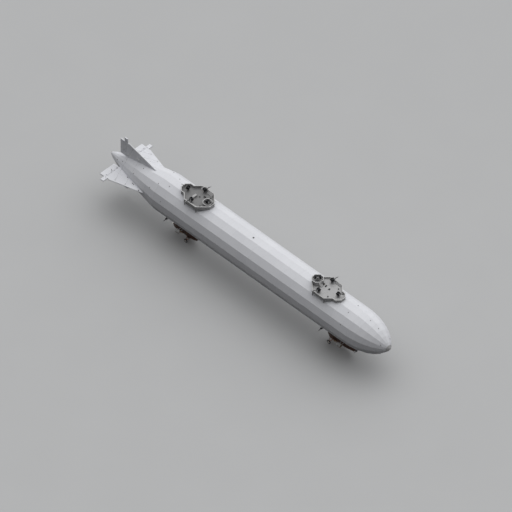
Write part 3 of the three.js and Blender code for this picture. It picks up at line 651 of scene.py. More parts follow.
FABRIC = doped_fabric()
TAPE = doped_tape()
# Painted shade: the light deck paint's sides are darker than its tops; the dark one's floor is painted darker
# than its sides
DECK_LIGHT = deck_paint("deck_paint_light", 1.38)
DECK_DARK = deck_paint("deck_paint_dark", 0.66)
TRIM = painted("deck_trim_paint", (0.49, 0.49, 0.495), (0.55, 0.55, 0.55), (0.18, 0.16, 0.14))
# Near-black paint, for dark trim and also as painted shade in openings, slots and under gratings
DARK_PAINT_AND_SHADE = painted("dark_paint_and_painted_shade", (0.020, 0.020, 0.022), (0.045, 0.045, 0.047), (0.2, 0.19, 0.18))
MOUNT_GREY = painted("mount_grey_paint", (0.20, 0.20, 0.205), (0.27, 0.27, 0.275), (0.09, 0.08, 0.07),
                     0.45, 60.0)
SHIELD_GREY = painted("shield_paint", (0.44, 0.44, 0.445), (0.52, 0.52, 0.52), (0.14, 0.12, 0.10), 0.5, 60.0)
PATCH_GREY = painted("lid_paint", (0.44, 0.44, 0.445), (0.50, 0.50, 0.50), (0.2, 0.18, 0.16), 0.5, 60.0)
ENGINE_GREY = painted("engine_paint", (0.66, 0.665, 0.67), (0.80, 0.80, 0.80), (0.20, 0.18, 0.16), 0.42, 50.0)
HUB_GREY = painted("wheel_disc_paint", (0.62, 0.62, 0.62), (0.76, 0.76, 0.75), (0.20, 0.17, 0.14), 0.42, 60.0)
PATCH_WHITE = painted("white_paint", (0.78, 0.78, 0.77), (0.86, 0.86, 0.85), (0.5, 0.48, 0.45),
                      0.45, 60.0, 0.68)
BROWN_PAINT = painted("brown_paint", (0.34, 0.12, 0.078), (0.42, 0.16, 0.105), (0.10, 0.05, 0.035),
                      0.45, 60.0)
WOOD = planked_wood()
DARK_WOOD = painted("dark_wood_trim", (0.022, 0.012, 0.009), (0.040, 0.021, 0.015), (0.10, 0.05, 0.03),
                    0.5, 60.0)
BLADE_WOOD = laminated_wood()
BLUED = gun_steel()
STEEL = bare_metal("bare_steel", (0.52, 0.53, 0.54), 0.3)
DULL_STEEL = bare_metal("dull_steel", (0.26, 0.26, 0.27), 0.42)
BRASS = bare_metal("brass", (0.72, 0.50, 0.20), 0.26)
HOT_STEEL = bare_metal("heated_steel", (0.25, 0.19, 0.16), 0.4)
RUBBER = tyre_rubber()
WRAP = cord_wrap()
GLASS = tinted_glass("window_glass", (0.90, 0.94, 0.93))
RED_GLASS = tinted_glass("red_lamp_glass", (0.85, 0.06, 0.04), 0.1)
GREEN_GLASS = tinted_glass("green_lamp_glass", (0.05, 0.6, 0.2), 0.1)
LIT_GLASS = lit_glass()

# Stage: a pale floor, a soft sky that is brightest up and to port, and the photo's view
FRAME_WIDTH = 12.8
VIEW_DISTANCE = 20
VIEW_BACK = Vector((0.5, -0.5, math.sqrt(0.5)))
VIEW_RIGHT = Vector((math.sqrt(0.5), math.sqrt(0.5), 0))
VIEW_DOWN = Vector((0.5, -0.5, -math.sqrt(0.5)))
# What the view's middle looks at: a point on the hull's axis, moved a little right and down
AIM = Vector((0.1266, 0, AXIS_Z * MM)) + VIEW_RIGHT * 0.0449 + VIEW_DOWN * 0.0725
SKY_SIDE = Vector((-0.16, 0.42, 0.893)).normalized()
SKY_ALL_ROUND = 0.07
SKY_WIDE = 1.02
SKY_NARROW = 1.14
FLOOR_SIZE = 60.0


def add_camera():
    """The photo's view, without perspective."""
    data = bpy.data.cameras.new("camera")
    data.type = "ORTHO"
    data.ortho_scale = FRAME_WIDTH
    data.clip_end = VIEW_DISTANCE * 5
    camera = bpy.data.objects.new("camera", data)
    bpy.context.scene.collection.objects.link(camera)
    camera.rotation_mode = "QUATERNION"
    camera.rotation_quaternion = (-VIEW_BACK).to_track_quat("-Z", "Y")
    camera.location = AIM + VIEW_BACK * VIEW_DISTANCE
    bpy.context.scene.camera = camera


def add_sky():
    """Light falls off smoothly from the bright side of the sky; a little comes from all round."""
    world = bpy.data.worlds.new("soft_studio")
    world.use_nodes = True
    tree = world.node_tree
    tree.nodes.clear()

    def worked_out(operation, *values):
        return add_node(tree, "ShaderNodeMath", enumerate(values), operation=operation).outputs[0]

    way = add_node(tree, "ShaderNodeTexCoord").outputs["Generated"]
    toward = add_node(tree, "ShaderNodeVectorMath", {0: way, 1: SKY_SIDE}, operation="DOT_PRODUCT")
    lit = worked_out("MAXIMUM", toward.outputs["Value"], 0.0)
    wide = worked_out("MULTIPLY_ADD", lit, SKY_WIDE, SKY_ALL_ROUND)
    strength = worked_out("MULTIPLY_ADD", worked_out("POWER", lit, 3.0), SKY_NARROW, wide)
    sky = add_node(tree, "ShaderNodeBackground", {"Strength": strength})
    add_node(tree, "ShaderNodeOutputWorld", {"Surface": sky.outputs[0]})
    bpy.context.scene.world = world


def add_floor():
    """The floor catches shadows but sends no light back up to the underside."""
    half = FLOOR_SIZE / 2
    mesh = bpy.data.meshes.new("floor")
    corners = [(-half, -half, 0), (half, -half, 0), (half, half, 0), (-half, half, 0)]
    mesh.from_pydata(corners, [], [(0, 1, 2, 3)])
    made = Finish("floor_paper", roughness=0.9, specular=0.1)
    made.colour(made.mix(made.noise(0.6, 2.0), tone(0.50, 0.505, 0.51), tone(0.52, 0.525, 0.53)))
    mesh.materials.append(made.material)
    floor = bpy.data.objects.new("floor", mesh)
    bpy.context.scene.collection.objects.link(floor)
    floor.visible_diffuse = False
    floor.visible_shadow = False


bpy.context.scene.view_settings.view_transform = "Standard"
bpy.context.scene.view_settings.look = "None"
add_camera()
add_sky()
add_floor()

# Hull
CORNER_TAPE = {"width": 7.0, "rise": 0.7, "sink": 0.6}
RING_TAPE = {"width": 8.0, "rise": 0.9, "sink": 0.6}


def hull_direction(corner):
    """Which way one of the hull's corners lies from its axis, as y and z."""
    angle = math.radians((corner + 0.5) * SIDE_ANGLE)
    return np.array((math.sin(angle), math.cos(angle)))


def hull_ring(x, offset):
    """The hull's corners at one x, moved outwards."""
    radius = hull_radius(x) + offset
    points = [hull_direction(corner) * radius for corner in range(HULL_SIDES)]
    return np.array([(x, y, AXIS_Z + z) for y, z in points])


def corner_tape(xs, corner):
    """Tape over one corner of the hull, through some stations."""
    middle, before, after = (hull_direction(corner + step) for step in (0, -1, 1))
    rings = []
    for x in xs:
        radius = hull_radius(x)
        side = 2 * radius * math.sin(math.radians(SIDE_ANGLE / 2))
        share = min(0.3, CORNER_TAPE["width"] / 2 / side)
        edges = [middle * (1 - share) + before * share, middle, middle * (1 - share) + after * share]
        out = [edge * (radius + CORNER_TAPE["rise"]) for edge in edges]
        inside = [edge * (radius - CORNER_TAPE["sink"]) for edge in reversed(edges)]
        rings.append(np.array([(x, y, AXIS_Z + z) for y, z in out + inside]))
    return skin(rings)


def ring_tape(x):
    """Tape round the hull over a ring frame."""
    half = RING_TAPE["width"] / 2
    xs = (x - half, x, x + half)
    rings = [hull_ring(station, RING_TAPE["rise"]) for station in xs]
    rings += [hull_ring(station, -RING_TAPE["sink"]) for station in reversed(xs)]
    return skin(rings, loop=True)


def add_hull_tapes():
    """Tape over each corner and over each ring frame, in five lengths as the hull is."""
    tail = [x for x, _ in TAIL_STATIONS[1:]]
    nose = [x for x, _ in NOSE_STATIONS[:-1]]
    bay = (PARALLEL_FRONT - PARALLEL_REAR) / len(BAYS)
    lengths = [("tail_cone", tail, tail[1:-1])]
    for index, name in enumerate(BAYS):
        rear = PARALLEL_REAR + bay * index
        rings = [rear + bay * step / BAY_FRAMES for step in range(BAY_FRAMES)]
        lengths.append((name, [rear, rear + bay], rings))
    lengths.append(("nose_cone", nose, nose[:-1]))
    for name, xs, rings in lengths:
        piece = Piece()
        for corner in range(HULL_SIDES):
            piece.add(corner_tape(xs, corner), TAPE)
        for x in rings:
            piece.add(ring_tape(x), TAPE)
        show(f"{name}_tapes", piece, ROOT)


# Vent hoods on the hull: x, and angle from the top towards starboard
VENTS = [
    (-4560, 56), (-4373, 43), (-3675, 16), (-3846, 54), (-2984, 31), (-2686, 20), (-3162, 55), (-2692, 70),
    (3631, 19), (3633, 59), (4205, -4), (4482, -6), (4762, 50),
]
# Hoods within this angle of the top stand alone; the others stand on both sides
CENTRE_LINE = 10
TOP_HATCH_X = 105


def vent_hood():
    """A domed hood on a laced flange, with its mouth to the tail."""
    piece = Piece()
    piece.add(turned([(-1, 0), (-1, 17), (0.8, 17), (1.4, 15), (1.4, 0)], 24), TAPE)
    piece.add(turned([(1, 0), (1, 12.5), (3, 12.3), (6, 10.5), (8, 7.5), (9.2, 4), (9.6, 0)], 20), MOUNT_GREY)
    piece.add(hoop(12.6, 0.9, 20, 6), DULL_STEEL, at(0, 0, 1.5))
    # Painted shade: near-black slats fill the hood's mouth in place of its shaded opening
    for level in (2.2, 4.2, 6.2):
        piece.add(box((-13.2, -6 + level / 2, level), (-8, 6 - level / 2, level + 1.1)), DARK_PAINT_AND_SHADE)
    piece.add(rivet(0.9, 0.7), DULL_STEEL, *round_places(8, 14.8, 1.3))
    return piece


def line_eye():
    """A towing eye: a laced fabric patch with fingers, and a steel ring in its middle."""
    piece = Piece()
    finger = [(0, -2.6), (26, -1.2), (28, 0), (26, 1.2), (0, 2.6)]
    piece.add(turned([(-0.8, 0), (-0.8, 12), (0.6, 12), (0.9, 11), (0.9, 0)], 20), TAPE)
    piece.add(prism(finger, -0.6, 0.5), TAPE, *round_places(6, 4))
    piece.add(slab(10, 5, 1.6, 0.6), DULL_STEEL)
    piece.add(hoop(5, 0.9, 16, 6), DULL_STEEL, at(0, 0, 5, ("X", 90)))
    return piece


def top_hatch():
    """The round hatch on the hull's back, with its dark grating over a near-black disc of painted shade."""
    piece = Piece()
    piece.add(turned([(-1, 0), (-1, 30), (1, 30), (1.6, 28), (1.6, 0)], 28), TAPE)
    piece.add(turned([(1, 21), (1, 25), (5, 25), (6, 23.5), (6, 21)], 28, loop=True), TRIM)
    # Painted shade: a near-black disc fills the opening under the grating
    piece.add(turned([(1, 0), (1, 21.5), (2.6, 21.5), (2.6, 0)], 28), DARK_PAINT_AND_SHADE)
    for across in (-14, -7, 0, 7, 14):
        half = math.sqrt(21**2 - across**2)
        piece.add(box((-half, across - 0.8, 2.5), (half, across + 0.8, 4.2)), DARK_PAINT_AND_SHADE)
        piece.add(box((across - 0.8, -half, 2.2), (across + 0.8, half, 3.6)), DARK_PAINT_AND_SHADE)
    piece.add(bolt(1.3, 1.0), DULL_STEEL, *round_places(10, 27, 1.6))
    piece.add(box((-30, -5, 1.2), (-22, 5, 5)), DULL_STEEL)
    return piece


LINE_EYES = [(x, angle) for x in (-3300, -2400, -1300, 0, 1300, 2400, 3500) for angle in (112.5, 135)]
NOSE_CAP = [(-46, 0), (-46, 96), (-43, 97), (-24, 62), (-8, 27), (0, 13), (4, 9), (4, 0)]


def add_hull_fittings():
    """Vent hoods, line eyes and the hatch on top."""
    hoods = Piece()
    for x, angle in VENTS:
        for side in (1, -1) if abs(angle) > CENTRE_LINE else (1,):
            hoods.join(vent_hood(), on_hull(x, -side * angle))
    show("hull_vent_hoods", hoods, ROOT)
    eyes = Piece()
    for x, angle in LINE_EYES:
        eyes.join(line_eye(), on_hull(x, angle), on_hull(x, -angle))
    show("hull_line_eyes", eyes, ROOT)
    show("hull_top_hatch", top_hatch(), ROOT, on_hull(TOP_HATCH_X, 0))


def add_hull_tips():
    """The nose's mooring cap with its eye, and the tail's cap with a lamp."""
    tip = LENGTH / 2
    nose, bow = Piece(), at(tip, 0, AXIS_Z, ("Y", 90))
    nose.add(turned(NOSE_CAP, HULL_SIDES, start=SIDE_ANGLE / 2), TRIM, bow)
    nose.add(turned([(-2, 0), (-2, 13), (5, 12), (9, 7), (9, 0)], 24), DULL_STEEL, bow)
    nose.add(hoop(7, 1.8, 20, 8), DULL_STEEL, at(tip + 13, 0, AXIS_Z, ("X", 90)))
    for corner in range(HULL_SIDES):
        y, z = hull_direction(corner) * 84
        nose.add(rivet(2.0, 1.4), DULL_STEEL, at(tip - 34, y, AXIS_Z + z, ("Y", 60)))
    show("nose_mooring_cap", nose, ROOT)
    tail, stern = Piece(), at(-tip, 0, AXIS_Z, ("Y", -90))
    tail.add(turned([(-30, 0), (-30, 27), (-12, 15), (2, 10), (2, 0)], 20), TRIM, stern)
    tail.add(turned([(1, 0), (1, 8), (6, 8), (10, 5), (12, 0)], 20), LIT_GLASS, stern)
    tail.add(hoop(8.3, 1.0, 20, 6), BRASS, at(-tip - 3, 0, AXIS_Z, ("Y", 90)))
    show("tail_cap", tail, ROOT)


# Tail surfaces, as in the frame: x forward of the trailing edge, z out from the hull's axis
FIN = {
    "trailing_x": -4583, "half": 12.5, "hinge": 157, "rear": 175.5, "tip_front": 300, "root_front": 1222,
    "root_radius": 470, "tip": 732, "surface_root": 246, "surface_tip": 740,
    "horn_rear": 142, "horn_front": 247, "horn_tip": 872,
}
FIN_SLOPE = (FIN["root_front"] - FIN["tip_front"]) / (FIN["tip"] - FIN["root_radius"])
FIN_RIB = {"pitch": 62, "width": 5, "rise": 1.1}
FIN_SIDES = [("upper", "rudder", 0), ("port", "elevator", -90), ("lower", "rudder", 180),
             ("starboard", "elevator", 90)]
# Control line guides on the fins: x forward of the trailing edge, and z
UPRIGHT_GUIDES = [(278, 361), (348, 376), (596, 445), (667, 459)]
LEVEL_GUIDES = [(589, 359), (827, 420), (870, 428), (1108, 489)]
HINGE_PLATES = (310, 413, 517, 662)
WIRE_STATIONS = [(430, 640), (720, 575)]


def fin_front(height):
    """How far forward a fin reaches at one height: to its sloping edge or to the hull."""
    edge = FIN["tip_front"] + FIN_SLOPE * (FIN["tip"] - height)
    steps = range(int(FIN["rear"]), int(FIN["root_front"]), 4)
    clear = [x for x in steps if hull_flat(FIN["trailing_x"] + x) < height - 3]
    return min(edge, clear[-1] if clear else FIN["rear"])


def ribs(piece, rows, front_of):
    """Rib tapes on both faces at some heights."""
    rise, half = FIN_RIB["rise"], FIN["half"]
    for height in rows:
        rear, front = front_of(height)
        low, high = height - FIN_RIB["width"] / 2, height + FIN_RIB["width"] / 2
        if front - rear > 20:
            for side in (-1, 1):
                piece.add(box((rear, side * (half - 0.4), low), (front, side * (half + rise), high)), TAPE)


def line_guide(finish):
    """A guide for a control line: foot plate, broad shelf that stands out, gussets and an eye."""
    piece = Piece()
    piece.add(slab(30, 18, 1.8, -0.4), finish)
    piece.add(box((-13, -1.4, 1), (13, 1.4, 23)), finish)
    for side in (-1, 1):
        piece.add(rod((side * 12, -7, 1.4), (side * 12, 0, 20), 1.3, 6), finish)
        piece.add(bolt(1.6, 1.2), DULL_STEEL, at(side * 9, -6, 1.4), at(side * 9, 6, 1.4))
    piece.add(hoop(3.4, 1.0, 14, 6), DULL_STEEL, at(0, 4.4, 12, ("Y", 90)))
    return piece


def fin_details(upright):
    """Tapes on a fin, its rounded leading edge, hinge plates, line guides and wire plates."""
    piece = Piece()
    half, rear, tip = FIN["half"], FIN["rear"], FIN["tip"]
    start = FIN["root_radius"] - 150
    rows = [tip - 8 - FIN_RIB["pitch"] * step for step in range(int((tip - start) / FIN_RIB["pitch"]) + 1)]
    ribs(piece, rows, lambda height: (rear + 1, fin_front(height) - 2))
    # Rounded leading edge, from the hull to the tip
    root = FIN["root_radius"] + 1
    path = [(fin_front(root) + 14, 0, root - 4), (FIN["tip_front"], 0, tip - 2)]
    piece.add(pipe(path, half + 0.9, 16), TAPE)
    knob = [(-1, 0), (-1, 13.4), (6, 11), (10, 6), (11, 0)]
    piece.add(turned(knob, 16), TAPE, at(FIN["tip_front"], 0, tip - 3))
    # Upright tapes behind the edge and beside the hinge
    for x in (rear + 10, 420, 700):
        low = hull_flat(FIN["trailing_x"] + x) + 4
        high = min(tip - 2, tip - (x + 12 - FIN["tip_front"]) / FIN_SLOPE)
        for side in (-1, 1):
            face = side * (half + 0.3)
            piece.add(box((x - 3, face - 0.9, low), (x + 3, face + 0.9, high)), TAPE)
    # Painted shade: the guides are one part, white on the upright fins and mount grey on the level fins
    guides, finish = (UPRIGHT_GUIDES, PATCH_WHITE) if upright else (LEVEL_GUIDES, MOUNT_GREY)
    for side in (-1, 1):
        out = at(0, side * half, 0, ("X", -90 * side))
        for height in HINGE_PLATES:
            place = at(rear + 9, 0, height) @ out
            piece.add(slab(16, 22, 2.2), TRIM, place)
            piece.add(bolt(1.6, 1.4), DULL_STEEL, *corner_places(4, 7, 2.2, place))
        for x, height in guides:
            piece.join(line_guide(finish), at(x, 0, height) @ out)
        for x, height in WIRE_STATIONS:
            place = at(x, 0, height) @ out
            piece.add(slab(30, 20, 1.8), TRIM, place)
            piece.add(bolt(1.5, 1.2), DULL_STEEL, *[place @ at(dx, 0, 1.8) for dx in (-10, 10)])
        # Fillet tape where the fin meets the hull
        xs = np.linspace(rear + 2, fin_front(root) + 2, 12)
        path = [(x, side * (half + 0.5), hull_flat(FIN["trailing_x"] + x) + 1.0) for x in xs]
        piece.add(pipe(path, 3.2, 6), TAPE)
    return piece


def control_details():
    """Rib tapes, edge strips, a horn arm on each face and a rounded trailing edge."""
    piece = Piece()
    half, root, tip, horn_tip = FIN["half"], FIN["surface_root"], FIN["surface_tip"], FIN["horn_tip"]
    ribs(piece, (345, 400, 435, 525, 570, 615, 705), lambda height: (3, FIN["hinge"] - 14))
    horn = (FIN["horn_rear"] + 6, FIN["horn_front"] - 6)
    # Edge strips: rear, front, low, high, and how far they stand out
    strips = [(4, 150, root + 3, 270, 1.0), (4, 150, tip - 14, tip - 3, 1.0), (2, 10, root + 4, tip - 4, 0.9),
              (*horn, tip + 8, tip + 14, 0.9), (*horn, horn_tip - 14, horn_tip - 8, 0.9)]
    for side in (-1, 1):
        face = side * half
        for rear, front, low, high, rise in strips:
            piece.add(box((rear, face - rise, low), (front, face + rise, high)), TAPE)
        # Horn arm with its pin
        arm = [(104, 0), (140, 0), (134, 30), (126, 34), (118, 30)]
        level = at(0, face, 455, ("X", -90 * side))
        foot = level @ at(122)
        piece.add(plate(arm, 3), TRIM, level)
        piece.add(slab(44, 12, 2), TRIM, foot)
        piece.add(rod((126, face + side * 28, 450), (126, face + side * 28, 460), 2.4), DULL_STEEL)
        piece.add(bolt(1.4, 1.0), DULL_STEEL, *[foot @ at(dx, 0, 2) for dx in (-18, 18)])
    # Trailing strip, thin and rounded
    piece.add(rod((0.5, 0, root + 2), (0.5, 0, tip - 1), half * 0.75, 12), TAPE)
    return piece


def add_tail():
    """What lies on the fins and the moving surfaces, and the wires from fin to fin."""
    for side, surface, angle in FIN_SIDES:
        place = at(FIN["trailing_x"], 0, AXIS_Z, ("X", angle))
        details = fin_details(surface == "rudder")
        show(f"{side}_fin_details", details, ROOT, place)
        name = f"{side}_{surface}"
        show(f"{name}_details", control_details(), name, place)
    wires = Piece()
    reach = FIN["half"] + 2
    for x, height in WIRE_STATIONS:
        for _, _, angle in FIN_SIDES:
            near = at(FIN["trailing_x"] + x, 0, AXIS_Z, ("X", angle)) @ Vector((0, -reach, height))
            far = at(FIN["trailing_x"] + x, 0, AXIS_Z, ("X", angle + 90)) @ Vector((0, reach, height))
            wires.add(rod(near, far, 1.1, 6), DULL_STEEL)
            along = (far - near).normalized()
            for end, way in ((near, along), (far, -along)):
                wires.add(rod(end + way * 12, end + way * 44, 2.6, 8), DULL_STEEL)
    show("fin_bracing_wires", wires, ROOT)


add_hull_tapes()
add_hull_fittings()
add_hull_tips()
add_tail()


# Decks, as in the frame
DECK_UNDER = 1586.98
DECK_FLOOR = 1622
DECK_WALL = 18
DECKS = {"fore": {"x": 2707, "rim": 1667}, "aft": {"x": -1818, "rim": 1692}}
RAISED = {"x": -334, "half": 150, "floor": 1697, "rim": 1752, "ramp_end": -120, "ramp_y": -35}
GUN_RING = {"x": 295, "rim": 1700}
CAP = {"overhang": 2.0, "rise": 2.6, "sink": 1.5}
WALL_RIB_PITCH = 84


def level_face(node, height):
    """A node's flat top at one height: its points, its triangles, and its outline's edges."""
    mesh = NODES[node].data
    numbers, points, triangles = {}, [], []
    for face in mesh.polygons:
        corners = [mesh.vertices[index].co / MM for index in face.vertices]
        if face.normal.z < 0.9 or any(abs(corner.z - height) > 0.1 for corner in corners):
            continue
        triangle = []
        for corner in corners:
            key = (round(corner.x, 1), round(corner.y, 1))
            if key not in numbers:
                numbers[key] = len(points)
                points.append((corner.x, corner.y))
            triangle.append(numbers[key])
        triangles.append(triangle)
    directed = {(t[i], t[(i + 1) % len(t)]) for t in triangles for i in range(len(t))}
    outline = [(a, b) for a, b in sorted(directed) if (b, a) not in directed]
    return np.array(points), triangles, outline


def outward(a, b):
    """The level direction to the right of an edge, away from the wall it bounds."""
    along = (b - a) / np.linalg.norm(b - a)
    return np.array((along[1], -along[0]))


def capping(node, height):
    """A cap over a wall's top that overhangs it on both sides."""
    points, triangles, outline = level_face(node, height)
    out = np.zeros_like(points)
    for a, b in outline:
        away = outward(points[a], points[b])
        out[a] += away
        out[b] += away
    square = np.maximum(np.sum(out**2, axis=1, keepdims=True), 0.5)
    spread = points + out * 2 / square * CAP["overhang"]
    count = len(points)
    levels = [np.hstack([spread, np.full((count, 1), level)]) for level in
              (height - CAP["sink"], height + CAP["rise"])]
    faces = [tuple(corner + count for corner in triangle) for triangle in triangles]
    faces += [tuple(reversed(triangle)) for triangle in triangles]
    faces += [(a, b, b + count, a + count) for a, b in outline]
    return np.concatenate(levels), faces


def wall_rivets(piece, node, height, levels, pitch=22.0):
    """Rows of rivets along both faces of a wall."""
    points, _, outline = level_face(node, height)
    for a, b in outline:
        start, end = points[a], points[b]
        length = np.linalg.norm(end - start)
        count = int((length - 8) / pitch) + 1
        away = outward(start, end)
        for index in range(count):
            x, y = start + (end - start) * (index + 0.5) / count
            for level in levels:
                place = facing((x, y, level), (0, 0, 1), (*away, 0))
                piece.add(rivet(1.5, 0.9), TRIM, place)


def wall_ribs(piece, node, height, rear, low):
    """Upright flat bars on a bulwark's outer faces ahead of one x, apart from its blunt bow."""
    points, _, outline = level_face(node, height)
    for a, b in outline:
        start, end = points[a], points[b]
        length, middle = np.linalg.norm(end - start), (start + end) / 2
        outer = outward(start, end)[1] * middle[1] > 1
        if length < 40 or not outer or middle[0] < rear - 1:
            continue
        count = max(1, round(length / WALL_RIB_PITCH))
        for index in range(count):
            x, y = start + (end - start) * (index + 0.5) / count
            place = facing((x, y, 0), (*(end - start), 0), (0, 0, 1))
            piece.add(box((-2.2, -2.4, low), (2.2, 0.5, height - 2)), TRIM, place)


# Chests along the side walls, on both sides of the gun there
CHEST = {"lid": 66, "front": 5, "ledge": 3, "wall_y": 318.6, "runs": ((-202, -134), (12, 202))}


def side_chest(length, rise):
    """A ready-use chest against a side wall: its sloping lid runs from a low front up to the rim."""
    piece = Piece()
    front, ledge = CHEST["front"], CHEST["ledge"]
    section = [(-rise, 0.3), (0, 0.3), (0, rise), (-ledge, rise), (-rise, front)]
    piece.add(beam(section, -length / 2, length / 2), PATCH_GREY)
    slope = math.degrees(math.atan2(rise - front, rise - ledge))
    depth = math.hypot(rise - ledge, rise - front)
    lids = max(1, round(length / CHEST["lid"]))
    pitch = length / lids
    for index in range(lids):
        x = -length / 2 + pitch * (index + 0.5)
        middle = at(x, -(rise + ledge) / 2, (rise + front) / 2, ("X", slope))
        piece.add(slab(pitch - 4, depth - 4, 2.6, -0.6), PATCH_GREY, middle)
        for x in (-pitch / 4, pitch / 4):
            piece.add(box((x - 4, depth / 2 - 9, 1), (x + 4, depth / 2 - 1, 3.4)), DARK_PAINT_AND_SHADE, middle)
            piece.add(box((x - 2.4, -depth / 2 - 1, 1), (x + 2.4, -depth / 2 + 7, 3.6)), DARK_PAINT_AND_SHADE, middle)
        grip = [(-9, 0, 1.4), (-8, 0, 6), (8, 0, 6), (9, 0, 1.4)]
        piece.add(pipe(grip, 1.1, 6), DULL_STEEL, middle)
    return piece


def deck_hatch(size):
    """A square coaming with a dark open grating over a near-black sheet of painted shade."""
    piece = Piece()
    half, inner = size / 2, size / 2 - 5
    piece.add(box((inner, -half, 0.2), (half, inner, 6)), TRIM, *round_places(4))
    # Painted shade: a near-black sheet under the grating
    piece.add(slab(2 * inner, 2 * inner, 1.2, 0.2), DARK_PAINT_AND_SHADE)
    for step in np.linspace(-inner, inner, 9)[1:-1]:
        piece.add(box((step - 1, -inner, 1.2), (step + 1, inner, 4.6)), DARK_PAINT_AND_SHADE)
        piece.add(box((-inner, step - 0.7, 1.2), (inner, step + 0.7, 3.6)), DARK_PAINT_AND_SHADE)
    for x in (-14, 14):
        piece.add(rod((x - 5, -half - 1.5, 4), (x + 5, -half - 1.5, 4), 2), DULL_STEEL)
    return piece


def canister():
    """A dark drum for spare belts, with a lid, bands and a handle."""
    piece = Piece()
    profile = [(0.2, 0), (0.2, 13), (2, 14), (9, 14), (10, 14.8), (12, 14.8), (13, 14), (22, 14),
               (23, 14.8), (25, 14.8), (26, 13), (28, 9), (28, 0)]
    piece.add(turned(profile, 20), DARK_PAINT_AND_SHADE)
    piece.add(pipe([(-7, 0, 27), (-6, 0, 33), (6, 0, 33), (7, 0, 27)], 1.1, 6), DULL_STEEL)
    return piece


def ammunition_rack():
    """A near-black box, painted shade for its pigeonholes, with the ends of shells in it."""
    piece = Piece()
    # Painted shade: the solid box is near black in place of the shade in its pigeonholes
    piece.add(slab(46, 30, 34, 0.3), DARK_PAINT_AND_SHADE)
    piece.add(slab(50, 34, 3, 34), DARK_PAINT_AND_SHADE)
    for column in (-15, -5, 5, 15):
        for row in (9, 19, 29):
            piece.add(rod((column, 14.6, row), (column, 15.8, row), 3.6), TRIM)
            piece.add(rod((column, 15.6, row), (column, 16.8, row), 2.0), BRASS)
    return piece


def companion():
    """The housing over the ladder down into the hull: sloping lid, a near-black doorway of painted shade,
    hand rails.
    """
    piece = Piece()
    athwart = swung("Z", 90)
    outline = [(-75, 0.3), (75, 0.3), (75, 30), (62, 46), (-60, 52), (-75, 44)]
    piece.add(plate(outline, 54), TRIM, athwart)
    lid = [(-62, 51.5), (60, 45.8), (60, 49), (-62, 55)]
    piece.add(plate(lid, 60), PATCH_GREY, athwart)
    for y in (-44, -16, 12, 40):
        piece.add(box((26.8, y - 10, 8), (28.4, y + 10, 36)), DARK_PAINT_AND_SHADE)
        piece.add(box((28.2, y - 11, 20), (29.4, y + 11, 22)), TRIM)
    # Painted shade: a near-black box stands in the doorway's opening
    piece.add(box((-16, 70, 3), (16, 76.5, 28)), DARK_PAINT_AND_SHADE)
    bends = [(58, 47), (58, 66), (10, 68), (-40, 70), (-48, 54)]
    for x in (-24, 24):
        piece.add(pipe(curve([(x, y, z) for y, z in bends], 4), 1.4, 8), DULL_STEEL)
    return piece


def training_ring(radius):
    """A flat ring on the deck round a gun, marked off with short bars."""
    piece = Piece()
    profile = [(0.1, radius - 4), (0.1, radius + 4), (0.9, radius + 4), (0.9, radius - 4)]
    piece.add(turned(profile, 48, loop=True), MOUNT_GREY)
    piece.add(box((-1.6, -0.6, 0), (1.6, 0.6, 1.2)), DARK_PAINT_AND_SHADE, *round_places(36, radius, 0.2))
    return piece


# Deck guns: place from the deck's middle, heading and elevation at rest, as in the frame
GUNS = [
    ("fore", "bow", 388, 0, 20, 10), ("fore", "port", -60, 240, 75, 5),
    ("fore", "starboard", -60, -240, -110, 5), ("fore", "stern", RAISED["x"], 0, -45, 40),
    ("aft", "bow", GUN_RING["x"], 0, 10, 5), ("aft", "port", -45, 240, 75, 5),
    ("aft", "starboard", -45, -225, -100, 5), ("aft", "stern", -388, 0, -160, 15),
]
GUN_GAP = 0.3
TRUNNION = 105


def gun_floor(deck, station):
    """How high the floor under a gun is."""
    return RAISED["floor"] if (deck, station) == ("fore", "stern") else DECK_FLOOR


def add_deck_fittings():
    """What stands on each deck, in places from its middle."""
    fittings = {deck: Piece() for deck in DECKS}
    fore, aft = fittings["fore"], fittings["aft"]
    for deck, station, x, y, _, _ in GUNS:
        fittings[deck].join(training_ring(58), at(x, y, gun_floor(deck, station)))
    for deck, piece in fittings.items():
        rise = DECKS[deck]["rim"] - DECK_FLOOR - CAP["sink"] - 1
        for side in (-1, 1):
            for rear, front in CHEST["runs"]:
                against = at((rear + front) / 2, side * CHEST["wall_y"], DECK_FLOOR, ("Z", 90 - side * 90))
                piece.join(side_chest(front - rear, rise), against)
            piece.join(canister(), at(215, side * 190, DECK_FLOOR))
    fore.join(deck_hatch(62), at(52, 22, DECK_FLOOR))
    fore.join(canister(), at(-84, 30, DECK_FLOOR), at(-86, 62, DECK_FLOOR))
    fore.join(ammunition_rack(), at(-160, 44, DECK_FLOOR, ("Z", -90)))
    aft.join(companion(), at(-118, -42, DECK_FLOOR))
    aft.join(canister(), at(60, 120, DECK_FLOOR), at(90, 128, DECK_FLOOR), at(-20, 40, DECK_FLOOR))
    # Treads on the ramp up to the raised tub
    top, y = RAISED["x"] + RAISED["half"] - DECK_WALL - 15, RAISED["ramp_y"]
    start, end = Vector((top, 0, RAISED["floor"])), Vector((RAISED["ramp_end"], 0, DECK_FLOOR))
    for step in range(1, 9):
        x, _, z = start.lerp(end, step / 9)
        fore.add(bar((x, y - 40, z + 0.6), (x, y + 40, z + 0.6), 3, 1.6), MOUNT_GREY)
    for deck, piece in fittings.items():
        show(f"{deck}_deck_fittings", piece, ROOT, at(DECKS[deck]["x"]))


